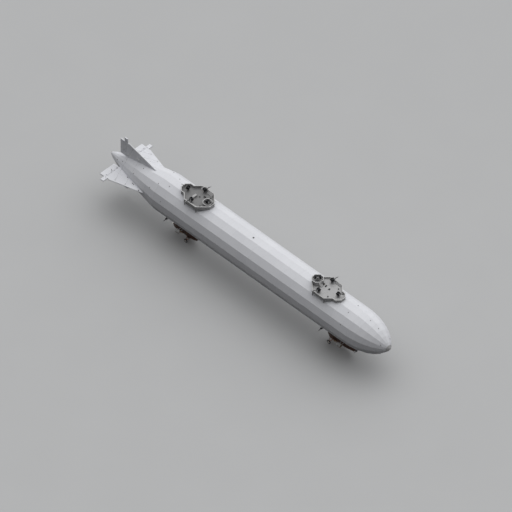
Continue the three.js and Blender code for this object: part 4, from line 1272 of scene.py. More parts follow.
def add_deck_walls():
    """Cap rails, rivets and ribs on the bulwarks, the raised tub and the gun ring."""
    for deck, row in DECKS.items():
        node, rim = f"{deck}_deck_bulwark", row["rim"]
        piece = Piece()
        piece.add(capping(node, rim), TRIM)
        wall_rivets(piece, node, rim, (rim - 8, DECK_FLOOR + 8))
        wall_ribs(piece, node, rim, row["x"], DECK_UNDER + 2)
        if deck == "fore":
            piece.add(capping(node, RAISED["rim"]), TRIM)
            wall_rivets(piece, node, RAISED["rim"], (RAISED["rim"] - 8, RAISED["rim"] - 44))
        show(f"{deck}_deck_rails", piece, ROOT)
    node, rim = "aft_deck_gun_ring", GUN_RING["rim"]
    ring = Piece()
    ring.add(capping(node, rim), TRIM)
    wall_rivets(ring, node, rim, (rim - 8, DECK_FLOOR + 8), 16.0)
    show("aft_deck_gun_ring_rail", ring, ROOT)


STRUT = {"x": 200, "y": 318}


def add_deck_supports():
    """Foot plates, bolts and bolted blocks on the struts, which with the gussets carry the decks."""
    for deck, row in DECKS.items():
        piece = Piece()
        for foot in corner_places(STRUT["x"], STRUT["y"]):
            side = math.copysign(1, foot.translation.y)
            piece.add(slab(30, 30, 3, DECK_UNDER - 3.4), TRIM, foot)
            bolts = corner_places(11, 11, on=foot @ at(0, 0, DECK_UNDER - 3.2, ("X", 180)))
            piece.add(bolt(1.8, 1.2), DULL_STEEL, *bolts)
            for level in (DECK_UNDER - 24, DECK_UNDER - 60, DECK_UNDER - 96):
                piece.add(slab(19, 19, 7, level), MOUNT_GREY, foot)
                outer = foot @ at(0, side * 9.4, level + 3.5, ("X", -90 * side))
                piece.add(bolt(1.7, 1.2), DULL_STEEL, outer)
        show(f"{deck}_deck_supports", piece, ROOT, at(row["x"]))


def gun_mount(wing_rear=40.0):
    """Bolted plate, ribbed column, yoke, handwheel and a slotted shield with wings, turned to +x."""
    piece = Piece()
    base = [(0, 0), (0, 40), (6, 40), (8, 38), (8, 31), (9.5, 29.5), (9.5, 0)]
    piece.add(turned(base, 36), MOUNT_GREY)
    piece.add(bolt(2.6, 2.4), DULL_STEEL, *round_places(8, 35, 8))
    column = [(9, 0), (9, 25), (13, 21), (22, 16.5), (34, 14), (40, 14.5), (43, 18), (47, 20.5), (47.5, 0)]
    piece.add(turned(column, 28), MOUNT_GREY)
    web = [(12, 9), (29, 9), (14, 38)]
    piece.add(plate(web, 2.6), MOUNT_GREY, *round_places(4, start=45))
    piece.add(turned([(42, 19), (42, 22.5), (46, 22.5), (46, 19)], 40, loop=True), DULL_STEEL)
    piece.add(box((-0.8, -0.9, -1.8), (1.2, 0.9, 1.8)), DULL_STEEL, *round_places(36, 22.6, 44))
    yoke = [(-14, -17), (-8, -23), (50, -23), (56, -18), (56, 18), (50, 23), (-8, 23), (-14, 17)]
    piece.add(prism(yoke, 47, 55), MOUNT_GREY)
    cheek = [(-14, 50), (56, 50), (57, 70), (46, 76), (22, 112), (12, 117), (-10, 117), (-14, 110)]
    doubler = [(-9, 56), (40, 56), (14, 90), (-9, 90)]
    boss = [(-1, 5.4), (-1, 11), (1.6, 11), (2.6, 9.5), (2.6, 5.4)]
    wing = [(wing_rear, 78), (58, 74), (58, 132), (wing_rear + 6, 126)]
    for side in (-1, 1):
        piece.add(plate(cheek, 6, side * 20), MOUNT_GREY)
        piece.add(plate(doubler, 2.2, side * 23.6), MOUNT_GREY)
        trunnion = at(0, side * 23, TRUNNION, ("X", -90 * side))
        piece.add(turned(boss, 24, loop=True), MOUNT_GREY, trunnion)
        piece.add(bolt(1.3, 1.0), DULL_STEEL, *round_places(6, 8, 1.8, on=trunnion))
        piece.add(rod((24, side * 20, 104), (57, side * 33, 128), 2.2), MOUNT_GREY)
        piece.add(plate(wing, 3), SHIELD_GREY, at(-1, side * 46, 0, ("Z", -side * 8)))
    shield = [(-45, 72), (-47, 76), (-47, 130), (-37, 142), (-14, 142), (-14, 84), (14, 84), (14, 142),
              (37, 142), (47, 130), (47, 76), (45, 72)]
    piece.add(beam(shield, 56, 59.6), SHIELD_GREY)
    piece.add(pipe([(58, y, z) for y, z in shield], 1.5, 6, loop=True), SHIELD_GREY)
    studs = [at(59.4, y, z, ("Y", 90)) for y in (-40, -22, 22, 40) for z in (80, 96, 112, 128)]
    piece.add(rivet(1.3, 0.9), SHIELD_GREY, *studs)
    # Handwheel on its bracket behind the column
    wheel = at(-36, 0, 30, ("Y", 90))
    piece.add(rod((-12, 0, 30), (-38, 0, 30), 2.4), MOUNT_GREY)
    piece.add(hoop(12, 1.4, 24, 6), DARK_PAINT_AND_SHADE, wheel)
    piece.add(rod((0, 0, 0), (12, 0, 0), 1.0, 6), DARK_PAINT_AND_SHADE, *round_places(3, on=wheel))
    piece.add(rod((11, 0, 0), (11, 0, -9), 1.8), BRASS, wheel @ swung("Z", 60))
    return piece


def jacket(piece, rear, front, radius, pitch):
    """A barrel jacket with hoops and rows of cooling slots as near-black patches of painted shade, along x.
    """
    profile = [(rear, 0), (rear, radius + 1), (rear + 4, radius + 1), (rear + 5, radius),
               (front - 5, radius), (front - 4, radius + 1), (front, radius + 0.6),
               (front + 4, radius * 0.6), (front + 4, 0)]
    piece.add(turned(profile, 20), BLUED, ALONG_X)
    x = rear + pitch
    while x < front - pitch * 0.7:
        piece.add(hoop(radius, 0.8, 20, 6), BLUED, at(x) @ ALONG_X)
        # Painted shade: the slots are not cut, and near-black patches stand in for them
        slots = [at(x + pitch / 2) @ swung("X", turn) @ at(0, 0, radius - 0.2) for turn in range(0, 360, 45)]
        piece.add(slab(pitch * 0.62, 2.2, 0.6), DARK_PAINT_AND_SHADE, *slots)
        x += pitch


def drum_face(piece, radius, near, far, place):
    """A flat ammunition drum about z: stepped faces, spokes and a milled rim."""
    profile = [(near, 0), (near, radius * 0.9), (near + 1.4, radius), (far - 1.6, radius),
               (far, radius * 0.93), (far, radius * 0.76), (far - 1.2, radius * 0.73),
               (far - 1.2, radius * 0.36), (far, radius * 0.33), (far, radius * 0.2),
               (far + 1.5, radius * 0.16), (far + 1.5, 0)]
    piece.add(turned(profile, 40), BLUED, place)
    spokes = round_places(12, radius * 0.545, far - 1.2, on=place)
    piece.add(box((-radius * 0.2, -0.7, -0.2), (radius * 0.2, 0.7, 1.0)), BLUED, *spokes)
    mills = round_places(36, radius, on=place)
    piece.add(box((-0.8, -1.0, near + 2), (0.7, 1.0, far - 2)), BLUED, *mills)


def deck_gun(drum_radius=45.0, drum_x=0.0, drum_width=9.0):
    """The gun about its trunnion, along +x: receiver, side drums, jacket, grips and sights."""
    piece = Piece()
    receiver = [(-45, -8), (-40, -12), (28, -12), (28, 8), (22, 12), (-38, 12), (-45, 7)]
    piece.add(plate(receiver, 23), BLUED)
    piece.add(plate([(-34, 12), (16, 12), (12, 15), (-30, 15)], 12), BLUED)
    piece.add(plate([(-44, -6), (26, -6), (26, 5), (-44, 5)], 25), DULL_STEEL)
    piece.add(rod((0, -38, 0), (0, 38, 0), 4.8, 16), DULL_STEEL)
    for side in (-1, 1):
        drum_face(piece, drum_radius, 28, 28 + drum_width, at(drum_x, 0, 0, ("X", -90 * side)))
        piece.add(rivet(1.2, 0.9), BLUED, *[at(x, side * 12.4, 0, ("X", -90 * side)) for x in (-36, -26, 18)])
        grip = curve([(-56, side * 9, -11), (-58, side * 9, -2), (-56, side * 9, 9)], 4)
        piece.add(pipe(grip, 2.6, 10), BLADE_WOOD)
    for low in (-13, 8.5):
        piece.add(box((-57, -10, low), (-44, 10, low + 2.5)), DULL_STEEL)
    piece.add(box((-50, -2, -8), (-45, 2, 6)), BRASS)
    jacket(piece, 28, 146, 8.2, 14)
    piece.add(rod((145, 0, 0), (178, 0, 0), 5, 16), DULL_STEEL)
    muzzle = [(172, 0), (172, 6.5), (175, 9), (190, 9), (195, 7.6), (195, 4.6), (187, 4.2), (187, 0)]
    piece.add(turned(muzzle, 20), SHIELD_GREY, ALONG_X)
    piece.add(rod((-26, 0, -15), (50, 0, -15), 3, 10), DULL_STEEL)
    piece.add(slab(4, 5, 8, 7), DULL_STEEL, at(46, 0, -19))
    # Ring sight in front, notch behind
    piece.add(rod((150, 0, 4), (150, 0, 17), 1.0, 6), BLUED)
    piece.add(hoop(6, 0.7, 20, 6), BLUED, at(150, 0, 22) @ ALONG_X)
    piece.add(box((149.6, -6, 21.7), (150.4, 6, 22.3)), BLUED)
    piece.add(box((-24, -2.5, 14), (-20, 2.5, 24)), BLUED)
    piece.add(hoop(2.6, 0.7, 14, 6), BLUED, at(-22, 0, 26) @ ALONG_X)
    return piece


def add_deck_guns():
    """The mounts and guns, each in its place, turned and tipped as in the frame."""
    plain = gun_mount().mesh("gun_mount"), deck_gun().mesh("deck_gun")
    # The gun in the raised tub has broad drums, and shorter wings beside them
    heavy = gun_mount(50).mesh("heavy_gun_mount"), deck_gun(54, -20, 60).mesh("heavy_deck_gun")
    for deck, station, x, y, heading, raised in GUNS:
        base = at(DECKS[deck]["x"] + x, y, gun_floor(deck, station) + GUN_GAP, ("Z", heading))
        label = f"{deck}_deck_{station}_gun"
        mount, gun = heavy if (deck, station) == ("fore", "stern") else plain
        show(f"{label}_mount_finished", mount, f"{label}_mount", base, [f"{label}_mount"], 0.4)
        pivot = base @ at(0, 0, TRUNNION, ("Y", -raised))
        show(f"{label}_finished", gun, label, pivot, [label], 0.3)


# Light guns on pins, as in the frame; a bracket has its reach and its brace's drop
WAIST = {"y": 462, "z": 700, "dip": 16, "bracket": (70, 30)}
WAIST_X = {"fore": 2950, "aft": -2530}
BOW_GUN = {"x": 3758, "z": 152, "dip": 10, "heading": -90, "bracket": (30, 10)}
PIN_GUN_AXIS = 25


def light_gun(dip):
    """A light gun about the foot of its pin: swivel, receiver, pan drum, jacket and grips."""
    piece = Piece()
    swivel = [(0.3, 4.3), (0.3, 11), (5, 11), (7, 9.4), (20, 9), (22, 8), (22, 4.3)]
    piece.add(turned(swivel, 24, loop=True), MOUNT_GREY)
    piece.add(rod((0, -13, 10), (0, -8, 10), 2.6, 8), BRASS)
    body = Piece()
    body.add(plate([(-24, -6), (-20, -8), (30, -8), (30, 6), (26, 8), (-20, 8), (-24, 5)], 15), BLUED)
    body.add(plate([(-22, -4), (28, -4), (28, 4), (-22, 4)], 16.2), DULL_STEEL)
    jacket(body, 30, 84, 6.2, 9)
    body.add(rod((84, 0, 0), (98, 0, 0), 3.6, 12), DULL_STEEL)
    muzzle = [(92, 0), (92, 5), (94, 7), (102, 7), (105, 5.8), (105, 3.4), (100, 3), (100, 0)]
    body.add(turned(muzzle, 16), SHIELD_GREY, ALONG_X)
    for y in (-6.5, 6.5):
        body.add(rod((-31, y, -8), (-31, y, 5), 2.0, 8), BLADE_WOOD)
    for low in (-9.5, 4.5):
        body.add(box((-32.5, -8, low), (-23, 8, low + 2)), DULL_STEEL)
    body.add(rod((88, 0, 3), (88, 0, 12), 0.8, 6), BLUED)
    body.add(hoop(3.6, 0.5, 16, 6), BLUED, at(88, 0, 15) @ ALONG_X)
    piece.join(body, at(0, 0, PIN_GUN_AXIS, ("Y", dip)))
    drum_face(piece, 18, 28, 41, at(4))
    piece.add(pipe([(-8, 0, 40), (-8, 0, 46), (16, 0, 46), (16, 0, 40)], 1.1, 6), DULL_STEEL)
    return piece


def gun_bracket(reach, drop):
    """The arm that carries a light gun, along +x: channel, brace and a flange on the skin."""
    piece = Piece()
    piece.add(box((-reach, -8.6, -12.6), (12.6, 8.6, 0.2)), MOUNT_GREY)
    piece.add(turned([(-13.4, 0), (-13.4, 11), (-12, 12), (0.2, 12), (0.25, 0)], 24), MOUNT_GREY)
    piece.add(rod((0, 0, -6), (-reach, 0, -6 - drop), 4.7, 12), MOUNT_GREY)
    for x in (-20, -42):
        piece.add(bolt(1.8, 1.3), DULL_STEEL, at(x, 0, 0.2))
        piece.add(box((x - 6, -9.6, -11), (x + 6, 9.6, -2)), MOUNT_GREY)
    return piece


def add_light_guns():
    """The guns at the hull's sides and at the fore gondola's bow, with their brackets."""
    waist = light_gun(WAIST["dip"]).mesh("waist_gun")
    bracket = gun_bracket(*WAIST["bracket"]).mesh("waist_gun_bracket")
    for end, x in WAIST_X.items():
        for name, side in SIDES.items():
            place = at(x, side * WAIST["y"], WAIST["z"], ("Z", 90 * side))
            label = f"{end}_{name}_waist_gun"
            show(f"{label}_finished", waist, label, place, [label], 0.25)
            show(f"{label}_bracket", bracket, ROOT, place, (), 0.4)
    label = "fore_gondola_bow_gun"
    place = at(BOW_GUN["x"], 0, BOW_GUN["z"])
    aimed = place @ swung("Z", BOW_GUN["heading"])
    show(f"{label}_finished", light_gun(BOW_GUN["dip"]), label, aimed, [label], 0.25)
    show(f"{label}_bracket", gun_bracket(*BOW_GUN["bracket"]), ROOT, place, (), 0.4)


add_deck_walls()
add_deck_fittings()
add_deck_supports()
add_deck_guns()
add_light_guns()


# Gondolas, as in the frame: the x of each landmark
GONDOLAS = {
    "fore": {"stern_top": 2780, "stern_foot": 2885, "shoulder": 3302, "stem_foot": 3685, "stem_top": 3802,
             "rear_post": 2957, "wheel": 2952, "propeller": 3239, "engine": 3339, "hinge": 3120,
             "windows": (2936, 3180, 3262, 3344, 3426)},
    "aft": {"stern_top": -2700, "stern_foot": -2595, "shoulder": -2043, "stem_foot": -1861, "stem_top": -1748,
            "rear_post": -2463, "wheel": -2108, "propeller": -2243, "engine": -2343, "hinge": -2060,
            "windows": (-2520, -2438, -2356, -2274, -1995)},
}
CABIN = {"half": 100, "bilge": 26, "keel": 110, "roof": 385, "wall": 6, "stem_half": 4, "stern_half": 62,
         "stern_run": 60, "knee": 200, "knee_reach": 75}
ROOF_POST = {"y": 72, "cap": 514, "top": 525.6}
TRUNK = {"half_length": 45, "half_width": 30, "height": 147, "astern": 60}
WINDOW = {"length": 62, "low": 262, "high": 345}


def full_x(row):
    """Where the cabin reaches its full width, ahead of the stern."""
    return row["stern_foot"] + CABIN["stern_run"]


def end_x(row, end, z):
    """Where the kneed stern or the raked stem stands at one height."""
    if end == "stem":
        return float(np.interp(z, (CABIN["keel"], CABIN["roof"]), (row["stem_foot"], row["stem_top"])))
    stern = (row["stern_foot"], row["stern_foot"] - CABIN["knee_reach"], row["stern_top"])
    return float(np.interp(z, (CABIN["keel"], CABIN["knee"], CABIN["roof"]), stern))


def cabin_half(row, x, z):
    """The cabin's half width outside, from its plan and its cross-section."""
    plan_x = (row["stern_top"] - 4, full_x(row), row["shoulder"], row["stem_top"] + 4)
    plan_half = (CABIN["stern_half"], CABIN["half"], CABIN["half"], CABIN["stem_half"])
    bilge_top = CABIN["keel"] + CABIN["bilge"]
    return min(float(np.interp(x, plan_x, plan_half)), CABIN["half"] - max(0, bilge_top - z))


def side_path(row, z, side, proud=0.0):
    """Points along one side of the cabin at one height, from stern to stem."""
    xs = (end_x(row, "stern", z), full_x(row), row["shoulder"], end_x(row, "stem", z))
    return [(x, side * (cabin_half(row, x, z) + proud), z) for x in xs]


def rail_round(row, z, width, height, finish, piece):
    """A bar along both sides and across the stern at one height, a little into the skin."""
    half = width / 2
    paths = []
    for side in (-1, 1):
        path = side_path(row, z, side, half - 0.6)
        path[0] = (path[0][0] - half + 0.6, path[0][1], z)
        path[-1] = (path[-1][0] + half, side * 3, z)
        paths.append(path)
    starboard, port = paths
    piece.add(swept(starboard + port[::-1], rectangle(width, height), loop=True), finish)


def side_place(row, x, z, side):
    """A place on the cabin's side: x to the bow, z outwards."""
    y = side * cabin_half(row, x, z)
    ahead = side * cabin_half(row, x + 1, z) - y
    return facing((x, y, z), (1, ahead, 0), (0, side, 0))


def side_gaps(row, side):
    """Stretches of x that windows and the doorway take up on one side."""
    gaps = [(x - 6, x + WINDOW["length"] + 6) for x in row["windows"]]
    if side < 0:
        gaps.append((row["hinge"] - 98, row["hinge"] + 14))
    return gaps


def add_planking(row, piece):
    """Laps between the planks, keel band, stem and stern bands, and uprights with their nails."""
    for z in (160, 184, 208, 232):
        for side in SIDES.values():
            path = side_path(row, z, side, 0.5)
            for start, end in zip(path, path[1:]):
                runs = around_door(row, start, end) if side < 0 else [(start, end)]
                for a, b in runs:
                    piece.add(bar(a, b, 2.2, 3.0), WOOD)
    rail_round(row, 139, 5, 7, DARK_WOOD, piece)
    rail_round(row, 372, 5, 9, DARK_WOOD, piece)
    for side in SIDES.values():
        y, taken = side * (CABIN["half"] + 1.0), side_gaps(row, side)
        for x in np.arange(full_x(row) + 12, row["shoulder"], 82.0):
            if any(low - 2 < x < high + 2 for low, high in taken):
                continue
            piece.add(box((x - 3, y, 140), (x + 3, y - side * 1.6, 370)), DARK_WOOD)
            nails = [at(x, y, z, ("X", -90 * side)) for z in (150, 172, 196, 220, 244, 352, 362)]
            piece.add(rivet(1.1, 0.7), BRASS, *nails)
        corner = []
        for z in (143, CABIN["knee"], 366):
            x = end_x(row, "stern", z)
            corner.append((x - 0.6, side * (cabin_half(row, x, z) - 0.4), z))
        piece.add(swept(corner, rectangle(5, 5), up=(1, 0, 0)), DARK_WOOD)
    stem = [(end_x(row, "stem", z) + 2.5, 0, z) for z in (CABIN["keel"] - 2, CABIN["roof"] - 10)]
    piece.add(bar(*stem, 12, 7, (1, 0, 0)), DARK_PAINT_AND_SHADE)
    keel = [(x, 0, CABIN["keel"] - 2) for x in (row["stern_foot"] + 6, row["stem_foot"] + 4)]
    piece.add(bar(*keel, 14, 6), DARK_PAINT_AND_SHADE)
    foot = (end_x(row, "stern", CABIN["keel"]) + 3, 0, CABIN["keel"] - 1)
    knee = (end_x(row, "stern", CABIN["knee"]) - 1.5, 0, CABIN["knee"] - 1)
    piece.add(bar(foot, knee, 12, 6, (1, 0, 0)), DARK_PAINT_AND_SHADE)


def around_door(row, start, end):
    """A stretch of the starboard side without its part across the doorway."""
    low, high = row["hinge"] - 94, row["hinge"] + 12
    if end[0] <= low or start[0] >= high:
        return [(start, end)]
    a, b = np.array(start, float), np.array(end, float)
    parts = []
    if start[0] < low:
        parts.append((a, a + (b - a) * (low - a[0]) / (b[0] - a[0])))
    if end[0] > high:
        parts.append((a + (b - a) * (high - a[0]) / (b[0] - a[0]), b))
    return parts


def window_frame(length, height):
    """A moulded frame with an upright and a level glazing bar, about the window's middle."""
    piece = Piece()
    half, rise = length / 2, height / 2
    ring = [(-half, -rise, 0.8), (half, -rise, 0.8), (half, rise, 0.8), (-half, rise, 0.8)]
    section = [(1, -2.6), (-5, -2.6), (-5, 0.2), (-3, 1.6), (1, 1.6)]
    piece.add(swept(ring, section, loop=True), DARK_WOOD)
    bar_y = rise * 0.28
    piece.add(box((-1.3, -rise + 0.5, -3.2), (1.3, rise - 0.5, 0.4)), DARK_WOOD)
    piece.add(box((-half + 0.5, bar_y - 1.1, -3.0), (half - 0.5, bar_y + 1.1, 0.2)), DARK_WOOD)
    return piece


def window_glass(length, height):
    """The pane of a window, about its middle."""
    piece = Piece()
    piece.add(slab(length - 0.4, height - 0.4, 1.2, -3.8), GLASS)
    return piece


def add_windows(row, piece, panes):
    """Frames, panes and sills along both sides."""
    height = WINDOW["high"] - WINDOW["low"]
    middle_z = (WINDOW["low"] + WINDOW["high"]) / 2
    for x in row["windows"]:
        middle = x + WINDOW["length"] / 2
        slope = cabin_half(row, middle + 1, middle_z) - cabin_half(row, middle, middle_z)
        length = WINDOW["length"] * math.hypot(1, slope)
        for side in SIDES.values():
            place = side_place(row, middle, middle_z, side)
            piece.join(window_frame(length, height), place)
            panes.join(window_glass(length, height), place)
            sill = [(x, side * (height / 2 + 6.5), 1.6) for x in (-length / 2 - 6, length / 2 + 6)]
            piece.add(bar(*sill, 4, 5), DARK_WOOD, place)


def add_roof_fittings(row, piece):
    """Roof edge, battens, post feet and caps, crossed wires, vents and the trunk's panels."""
    roof, post_y, cap = CABIN["roof"], ROOF_POST["y"], ROOF_POST["cap"]
    edge = [(row["stern_top"] - 2, CABIN["stern_half"] + 1), (full_x(row), 101),
            (row["shoulder"], 101), (row["stem_top"] + 2, 3)]
    loop = [(x, -y, roof - 2.2) for x, y in edge] + [(x, y, roof - 2.2) for x, y in reversed(edge)]
    section = [(-2.4, -3.6), (2.4, -3.6), (2.4, 3.0), (-1.2, 4.6), (-2.4, 4.6)]
    piece.add(swept(loop, section, loop=True), DARK_WOOD)
    rear, front = row["rear_post"], row["shoulder"] + 60
    trunk = (rear + front) / 2 - TRUNK["astern"]
    posts = [rear + (front - rear) * index / 3 for index in range(4)]
    for x in np.arange(row["stern_top"] + 24, row["stem_top"] - 60, 42.0):
        if any(abs(x - post) < 16 for post in posts):
            continue
        inner, outer = 32 if abs(x - trunk) < 48 else 0, cabin_half(row, x, roof) - 4
        for side in SIDES.values():
            batten = box((x - 2, side * inner, roof - 0.5), (x + 2, side * outer, roof + 1.8))
            piece.add(batten, DARK_WOOD)
    for x in posts:
        for y in (-post_y, post_y):
            foot = at(x, y)
            piece.add(slab(26, 26, 3.4, roof - 0.4), MOUNT_GREY, foot)
            piece.add(slab(16, 16, 9, roof + 2), MOUNT_GREY, foot)
            piece.add(slab(17, 17, 9, cap), MOUNT_GREY, foot)
            piece.add(bolt(1.8, 1.4), DULL_STEEL, *corner_places(9.5, 9.5, roof + 3, foot))
            under = at(x, y, ROOF_POST["top"], ("X", 180))
            piece.add(bolt(1.6, 1.2), DULL_STEEL, *corner_places(9.5, 9.5, on=under))
    for start, end in zip(posts, posts[1:]):
        for y in (-post_y, post_y):
            for low, high in ((start + 7, end - 7), (end - 7, start + 7)):
                a, b = Vector((low, y, roof + 9)), Vector((high, y, cap + 3))
                piece.add(rod(a, b, 0.9, 6), DULL_STEEL)
                piece.add(rod(a.lerp(b, 0.12), a.lerp(b, 0.24), 1.9, 8), BRASS)
    for x in (posts[0], posts[3]):
        for y in (-66, 66):
            piece.add(rod((x, y, roof + 8), (x, -y, cap + 3), 0.9, 6), DULL_STEEL)
    cowl = [(0, 0), (0, 9), (2, 9), (3, 6), (12, 6), (14, 9), (18, 9), (21, 4), (21, 0)]
    for x in (row["shoulder"] + 120, row["stern_foot"] + 10):
        piece.add(turned(cowl, 16), MOUNT_GREY, at(x, 0, roof - 0.4))
    # The trunk's corner strips, doors and rungs
    length, width = TRUNK["half_length"], TRUNK["half_width"]
    corners = corner_places(length, width, on=at(trunk))
    piece.add(slab(5, 5, TRUNK["height"], roof), DARK_WOOD, *corners)
    for side in SIDES.values():
        piece.add(slab(50, 1.6, 96, roof + 22), DARK_WOOD, at(trunk, side * (width + 0.2)))
        piece.add(slab(40, 1.8, 86, roof + 27), WOOD, at(trunk, side * (width + 0.8)))
        piece.add(slab(3, 4, 6, roof + 60), BRASS, at(trunk - length - 1.5, side * width))
    rung_ends = [(1 - length, -11), (-10 - length, -11), (-10 - length, 11), (1 - length, 11)]
    for z in range(roof + 20, roof + 140, 17):
        rung = [(trunk + x, y, z) for x, y in rung_ends]
        piece.add(pipe(rung, 1.4, 8), DULL_STEEL)


def steering_wheel(radius, rim, reach, spoke):
    """A wooden steering wheel about z; its spokes end in handles."""
    piece = Piece()
    piece.add(hoop(radius, rim, 28, 8), BLADE_WOOD)
    piece.add(rod((0, 0, 0), (reach, 0, 0), spoke, 6), BLADE_WOOD, *round_places(8))
    return piece


def add_cabin_inside(row, piece):
    """Floor boards, benches, instrument board and the two steering wheels."""
    low = CABIN["keel"] + CABIN["wall"]
    start, end = row["stern_foot"] + 14, row["shoulder"] + 110
    for y in np.arange(-60, 61, 20.0):
        piece.add(box((start, y - 9.4, low + 0.4), (end, y + 9.4, low + 4)), WOOD)
    bow = row["shoulder"] + 150
    half = cabin_half(row, bow, 300) - 9
    piece.add(box((bow, -half, 238), (bow + 5, half, 268)), DARK_WOOD)
    for y in (-24, -8, 8, 24):
        dial = at(bow - 0.2, y, 254, ("Y", -90))
        piece.add(turned([(0, 0), (0, 7), (2.4, 7), (3, 6), (3, 5.6), (1.6, 5.4), (1.6, 0)], 20), BRASS, dial)
        piece.add(turned([(1.5, 0), (1.5, 5.4), (2, 5.4), (2, 0)], 20), PATCH_WHITE, dial)
    piece.join(steering_wheel(20, 1.8, 26, 1.4), at(bow - 34, 0, 226, ("Y", 90)))
    piece.add(rod((bow - 40, 0, 226), (bow - 22, 0, 226), 4, 12), BRASS)
    piece.add(bar((bow - 28, 0, low), (bow - 28, 0, 226), 8, 8, (1, 0, 0)), DARK_WOOD)
    piece.join(steering_wheel(18, 1.7, 23, 1.3), at(bow - 90, 54, 216, ("X", 90)))
    piece.add(bar((bow - 90, 58, low), (bow - 90, 58, 216), 7, 7, (1, 0, 0)), DARK_WOOD)
    x = row["rear_post"] + 60
    for side in SIDES.values():
        piece.add(box((x - 40, side * 62, 166), (x + 40, side * 92, 171)), WOOD)
        for leg in (x - 34, x + 34):
            piece.add(box((leg - 3, side * 64, low + 3), (leg + 3, side * 90, 167)), DARK_WOOD)


def add_cabin_outside(row, piece, lamps):
    """Doorway frame, step, grab rail and side lamps."""
    hinge, y = row["hinge"], -CABIN["half"]
    piece.add(box((hinge - 93, y - 2.4, 136), (hinge - 87, y + 0.6, 352)), DARK_WOOD)
    piece.add(box((hinge + 7.5, y - 2.4, 136), (hinge + 12, y + 0.6, 352)), DARK_WOOD)
    piece.add(box((hinge - 93, y - 3, 361), (hinge + 12, y + 0.6, 366)), DARK_WOOD)
    middle = hinge - 42
    piece.add(box((middle - 26, y - 24, 119), (middle + 26, y + 12, 122.5)), DARK_WOOD)
    piece.add(box((middle - 26, y - 25.2, 116.5), (middle + 26, y - 23.2, 123)), BRASS)
    for x in (middle - 22, middle + 22):
        piece.add(bar((x, y - 20, 118), (x, y + 14, 119), 4, 3.4), DULL_STEEL)
        piece.add(bar((x, y - 20, 118.5), (x, y + 20, 122), 4, 3), DULL_STEEL)
    rail = [(hinge - 104, y + out, z) for out, z in ((1, 190), (-9, 190), (-9, 300), (1, 300))]
    piece.add(pipe(rail, 2.0, 8), BRASS)
    lens = [(4.4, 0), (4.4, 6.6), (8, 7.4), (16, 7.4), (20.4, 6.6), (20.4, 0)]
    for side, glass in ((1, RED_GLASS), (-1, GREEN_GLASS)):
        place = side_place(row, row["shoulder"] + 58, 300, side)
        piece.add(slab(24, 30, 2), DARK_PAINT_AND_SHADE, place)
        piece.add(turned([(0, 0), (0, 8.4), (4, 8.4), (5, 7.6), (5, 0)], 20), BRASS, place)
        piece.add(turned([(20, 0), (20, 7), (21.4, 5.4), (23, 0)], 20), BRASS, place)
        lamps.add(turned(lens, 20), glass, place)


def add_stern_lamp():
    """The aft gondola's white lamp on a short bracket at its starboard quarter."""
    arm, lens = Piece(), Piece()
    x, z = -2655, 230
    y = -cabin_half(GONDOLAS["aft"], x, z)
    arm.add(box((x - 8, y - 22, z - 17), (x + 8, y + 2, z - 13.5)), DARK_PAINT_AND_SHADE)
    arm.add(rod((x, y + 2, z - 34), (x, y - 14, z - 16), 2.4, 8), DARK_PAINT_AND_SHADE)
    arm.add(box((x - 8, y - 2.4, z - 40), (x + 8, y + 2, z + 16)), DARK_PAINT_AND_SHADE)
    top = at(x, y - 16, z)
    arm.add(turned([(-14, 0), (-14, 9), (-11, 12), (-9, 12), (-9, 0)], 20), DARK_PAINT_AND_SHADE, top)
    guard = curve([(12.5, 0, -11), (13.8, 0, 0), (12.6, 0, 8), (8, 0, 14.4), (0, 0, 17)], 3)
    arm.add(pipe(guard, 0.8, 6), DARK_PAINT_AND_SHADE, *round_places(4, on=top))
    lens.add(turned([(-9.4, 0), (-9.4, 11), (-2, 12.6), (7, 11.6), (13, 7.5), (15.5, 0)], 20), LIT_GLASS, top)
    show("aft_gondola_stern_lamp", arm, ROOT)
    show("aft_gondola_stern_lamp_glass", lens, ROOT)


def add_door(end, row):
    """Mouldings, glass, handle and kick plate, riding on the door."""
    piece, pane = Piece(), Piece()
    hinge, y = row["hinge"], -CABIN["half"]
    rear = hinge - 84
    length, height = hinge - rear - 32, WINDOW["high"] - WINDOW["low"] - 14
    middle = facing(((rear + hinge) / 2, y, WINDOW["low"] + height / 2), (1, 0, 0), (0, -1, 0))
    piece.join(window_frame(length, height), middle)
    pane.join(window_glass(length, height), middle)
    for low, high in ((150, 198), (206, 250)):
        corners = [(rear + 8, low), (hinge - 22, low), (hinge - 22, high), (rear + 8, high)]
        moulding = [(x, y - 0.6, z) for x, z in corners]
        piece.add(pipe(moulding, 1.5, 6, loop=True), DARK_WOOD)
    piece.add(box((rear + 2, y - 1.0, 226), (rear + 7, y + 0.4, 254)), BRASS)
    handle = curve([(rear + 4.5, y, 240), (rear + 4.5, y - 8, 240), (rear + 18, y - 9, 240)], 4)
    piece.add(pipe(handle, 1.9, 8), BRASS)
    piece.add(box((rear + 4, y - 0.9, 142), (hinge - 20, y + 0.4, 148)), BRASS)
    for z in (165, 173, 181, 304, 312, 320):
        piece.add(rivet(1.3, 0.8), BRASS, at(hinge - 13, y - 6.6, z, ("X", 90)))
    name = f"{end}_gondola_door"
    show(f"{name}_fittings", piece, name)
    show(f"{name}_glass", pane, name)


def add_gondolas():
    """The pieces on both gondolas' cabins and doors."""
    for end, row in GONDOLAS.items():
        parts = {part: Piece() for part in ("planking", "glass", "roof_fittings", "inside", "lamp_glass")}
        add_planking(row, parts["planking"])
        add_windows(row, parts["planking"], parts["glass"])
        add_cabin_outside(row, parts["planking"], parts["lamp_glass"])
        add_roof_fittings(row, parts["roof_fittings"])
        add_cabin_inside(row, parts["inside"])
        for part, piece in parts.items():
            show(f"{end}_gondola_{part}", piece, ROOT)
        add_door(end, row)


